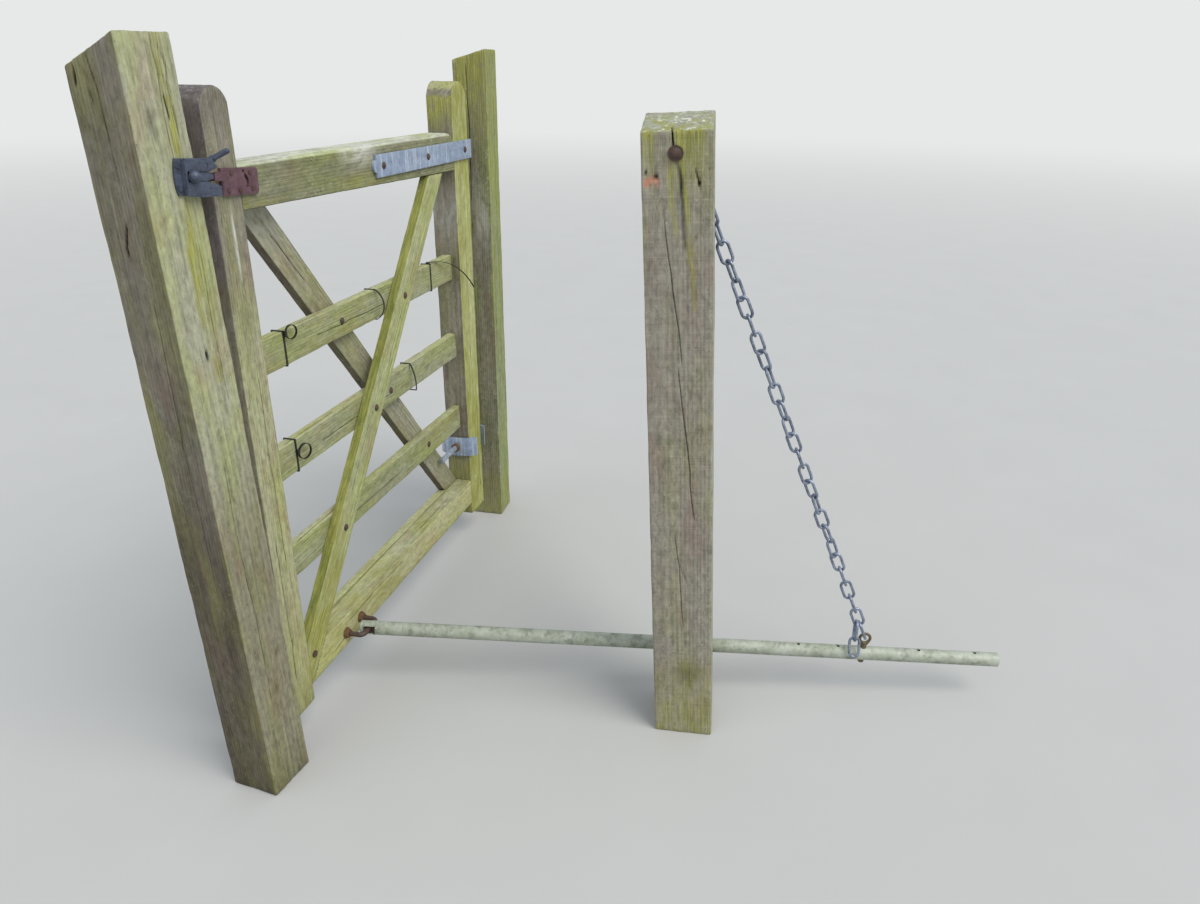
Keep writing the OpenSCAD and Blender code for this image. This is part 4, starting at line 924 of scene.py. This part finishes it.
CHAIN_TOP = Vector((-0.80324, -0.75250, 1.27592))
CHAIN_WAY = Vector((0.08804, -0.39028, -0.91648))
TWIST = -22.5  # degrees from one link to the next
TWISTED = 24  # links that turn on; the rest keep the last one's angle, which is the CAD's way round


def islands(bm):
    """The loose parts of a mesh, as lists of their points."""
    left, found = set(bm.verts), []
    while left:
        part, edge = set(), [next(iter(left))]
        while edge:
            v = edge.pop()
            if v in part:
                continue
            part.add(v)
            edge += [e.other_vert(v) for e in v.link_edges]
        left -= part
        found.append(list(part))
    return found


def twisted_chain(material):
    """The chain's own links, each turned a little further round the chain, as a twisted chain hangs."""
    mesh = nodes["chain"].data.copy()
    mesh.name = "chain_twisted"
    bm = bmesh.new()
    bm.from_mesh(mesh)
    bmesh.ops.remove_doubles(bm, verts=bm.verts, dist=WELD)
    links = islands(bm)
    links.sort(key=lambda link: sum((v.co - CHAIN_TOP).dot(CHAIN_WAY) for v in link) / len(link))
    for number, link in enumerate(links):
        angle = math.radians(TWIST * min(number, TWISTED))
        spin = Matrix.Translation(CHAIN_TOP) @ Matrix.Rotation(angle, 4, CHAIN_WAY)
        spin = spin @ Matrix.Translation(-CHAIN_TOP)
        for v in link:
            v.co = spin @ v.co
    bm.to_mesh(mesh)
    bm.free()
    clad(mesh, material, sharp=50)
    piece = bpy.data.objects.new("chain_twisted", mesh)
    scene.collection.objects.link(piece)
    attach(piece, "chain")
    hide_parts("chain")


def ironwork():
    zinc = metal(
        "zinc", (0.60, 0.64, 0.68), (0.47, 0.50, 0.52), 0.08, metallic=0.45, rough=0.48, grime=0.35
    )
    strap = metal(
        "strap_zinc", (0.58, 0.64, 0.74), (0.47, 0.53, 0.62), 0.05, streak=(90, 90, 7), grime=0.15
    )
    rust = metal(
        "rust", (0.34, 0.28, 0.25), (0.24, 0.19, 0.17), 0.6, (0.27, 0.19, 0.15), 0.25, 0.7,
        grime=0.5, light=(0.48, 0.42, 0.38),
    )
    nut = metal(
        "nut_rust", (0.44, 0.34, 0.25), (0.31, 0.23, 0.17), 0.7, (0.34, 0.24, 0.16), 0.25, 0.7,
        light=(0.56, 0.48, 0.38),
    )
    cast = metal(
        "cast", (0.29, 0.32, 0.39), (0.22, 0.24, 0.30), 0.05, (0.30, 0.20, 0.17), 0.3,
        grime=0.35, light=(0.46, 0.50, 0.58),
    )
    maroon = metal(
        "maroon", (0.40, 0.27, 0.31), (0.31, 0.20, 0.23), 0.12, (0.36, 0.20, 0.15), 0.05, 0.6,
        grime=0.35, light=(0.50, 0.40, 0.42),
    )
    brown = metal(
        "brown_steel", (0.44, 0.39, 0.28), (0.31, 0.26, 0.19), 0.35, (0.32, 0.23, 0.14), 0.35, 0.55,
        light=(0.58, 0.54, 0.42),
    )
    pole = metal(
        "pole_zinc", (0.66, 0.68, 0.63), (0.52, 0.55, 0.47), 0.04, metallic=0.15, rough=0.6,
        grime=0.45, scale=0.5, light=(0.80, 0.82, 0.76),
    )
    chain = metal(
        "chain_zinc", (0.56, 0.60, 0.67), (0.36, 0.39, 0.46), 0.08, metallic=0.55, rough=0.38,
        grime=0.35, light=(0.78, 0.82, 0.90),
    )
    worn = (
        ("top_hook", zinc, "galvanised_steel", "posts", 0.0004),
        ("bottom_hook", zinc, "galvanised_steel", "posts", 0.0004),
        ("latch_screws", cast, "galvanised_steel", "posts", 0.0004),
        ("striker_screws", rust, "galvanised_steel", "gate", 0.0004),
        ("top_hinge_strap", strap, "galvanised_steel", "gate", 0.0009),
        ("saddle_plate", strap, "galvanised_steel", "gate", 0.0006),
        ("rear_saddle_plate", strap, "galvanised_steel", "gate", 0.0006),
        ("bottom_eye_bolt", zinc, "galvanised_steel", "gate", 0.0004),
        ("brace_bolts", rust, "rusty_steel", "gate", 0.0005),
        ("top_hinge_bolts", rust, "rusty_steel", "gate", 0.0005),
        ("bottom_hinge_nut", nut, "rusty_steel", "gate", 0.0008),
        ("staple_nuts", nut, "rusty_steel", "gate", 0.0008),
        ("chain_bolt_nut", rust, "rusty_steel", "posts", 0.0006),
        ("latch_body", cast, "latch_metal", "posts", 0.0010),
        ("latch_bolt", cast, "latch_metal", "bolt", 0.0006),
        ("latch_lever", cast, "latch_metal", "lever", 0.0008),
        ("striker_plate", maroon, "striker_paint", "gate", 0.0009),
    )
    for node, material, slot, body, width in worn:
        soften(node, material, body, width)
    plain = {
        "pole_staple": rust, "pole_bush": rust, "chain_bolt": rust, "closer_pole": pole,
        "pole_eye": brown, "top_link": chain, "spare_links": chain,
    }
    for node, material in plain.items():
        clad(nodes[node].data, material)
    twisted_chain(chain)


def plastic():
    m = Mat("tie_nylon")
    place = m.add("ShaderNodeTexCoord").outputs["Object"]
    dust = m.noise(place, 300, 3, 0.6)
    tone = m.mix(m.ramp(dust, 0.5, 0.8), (0.055, 0.055, 0.06), (0.16, 0.16, 0.15))
    nylon = m.finish({"Base Color": tone, "Roughness": 0.5}, dust, 0.0002, 0.5)
    clad(nodes["cable_ties"].data, nylon)


camera()
stage()
latch_post()
hanging_post()
closer_post()
leaf()
ironwork()
plastic()
scene.view_settings.view_transform = "Standard"
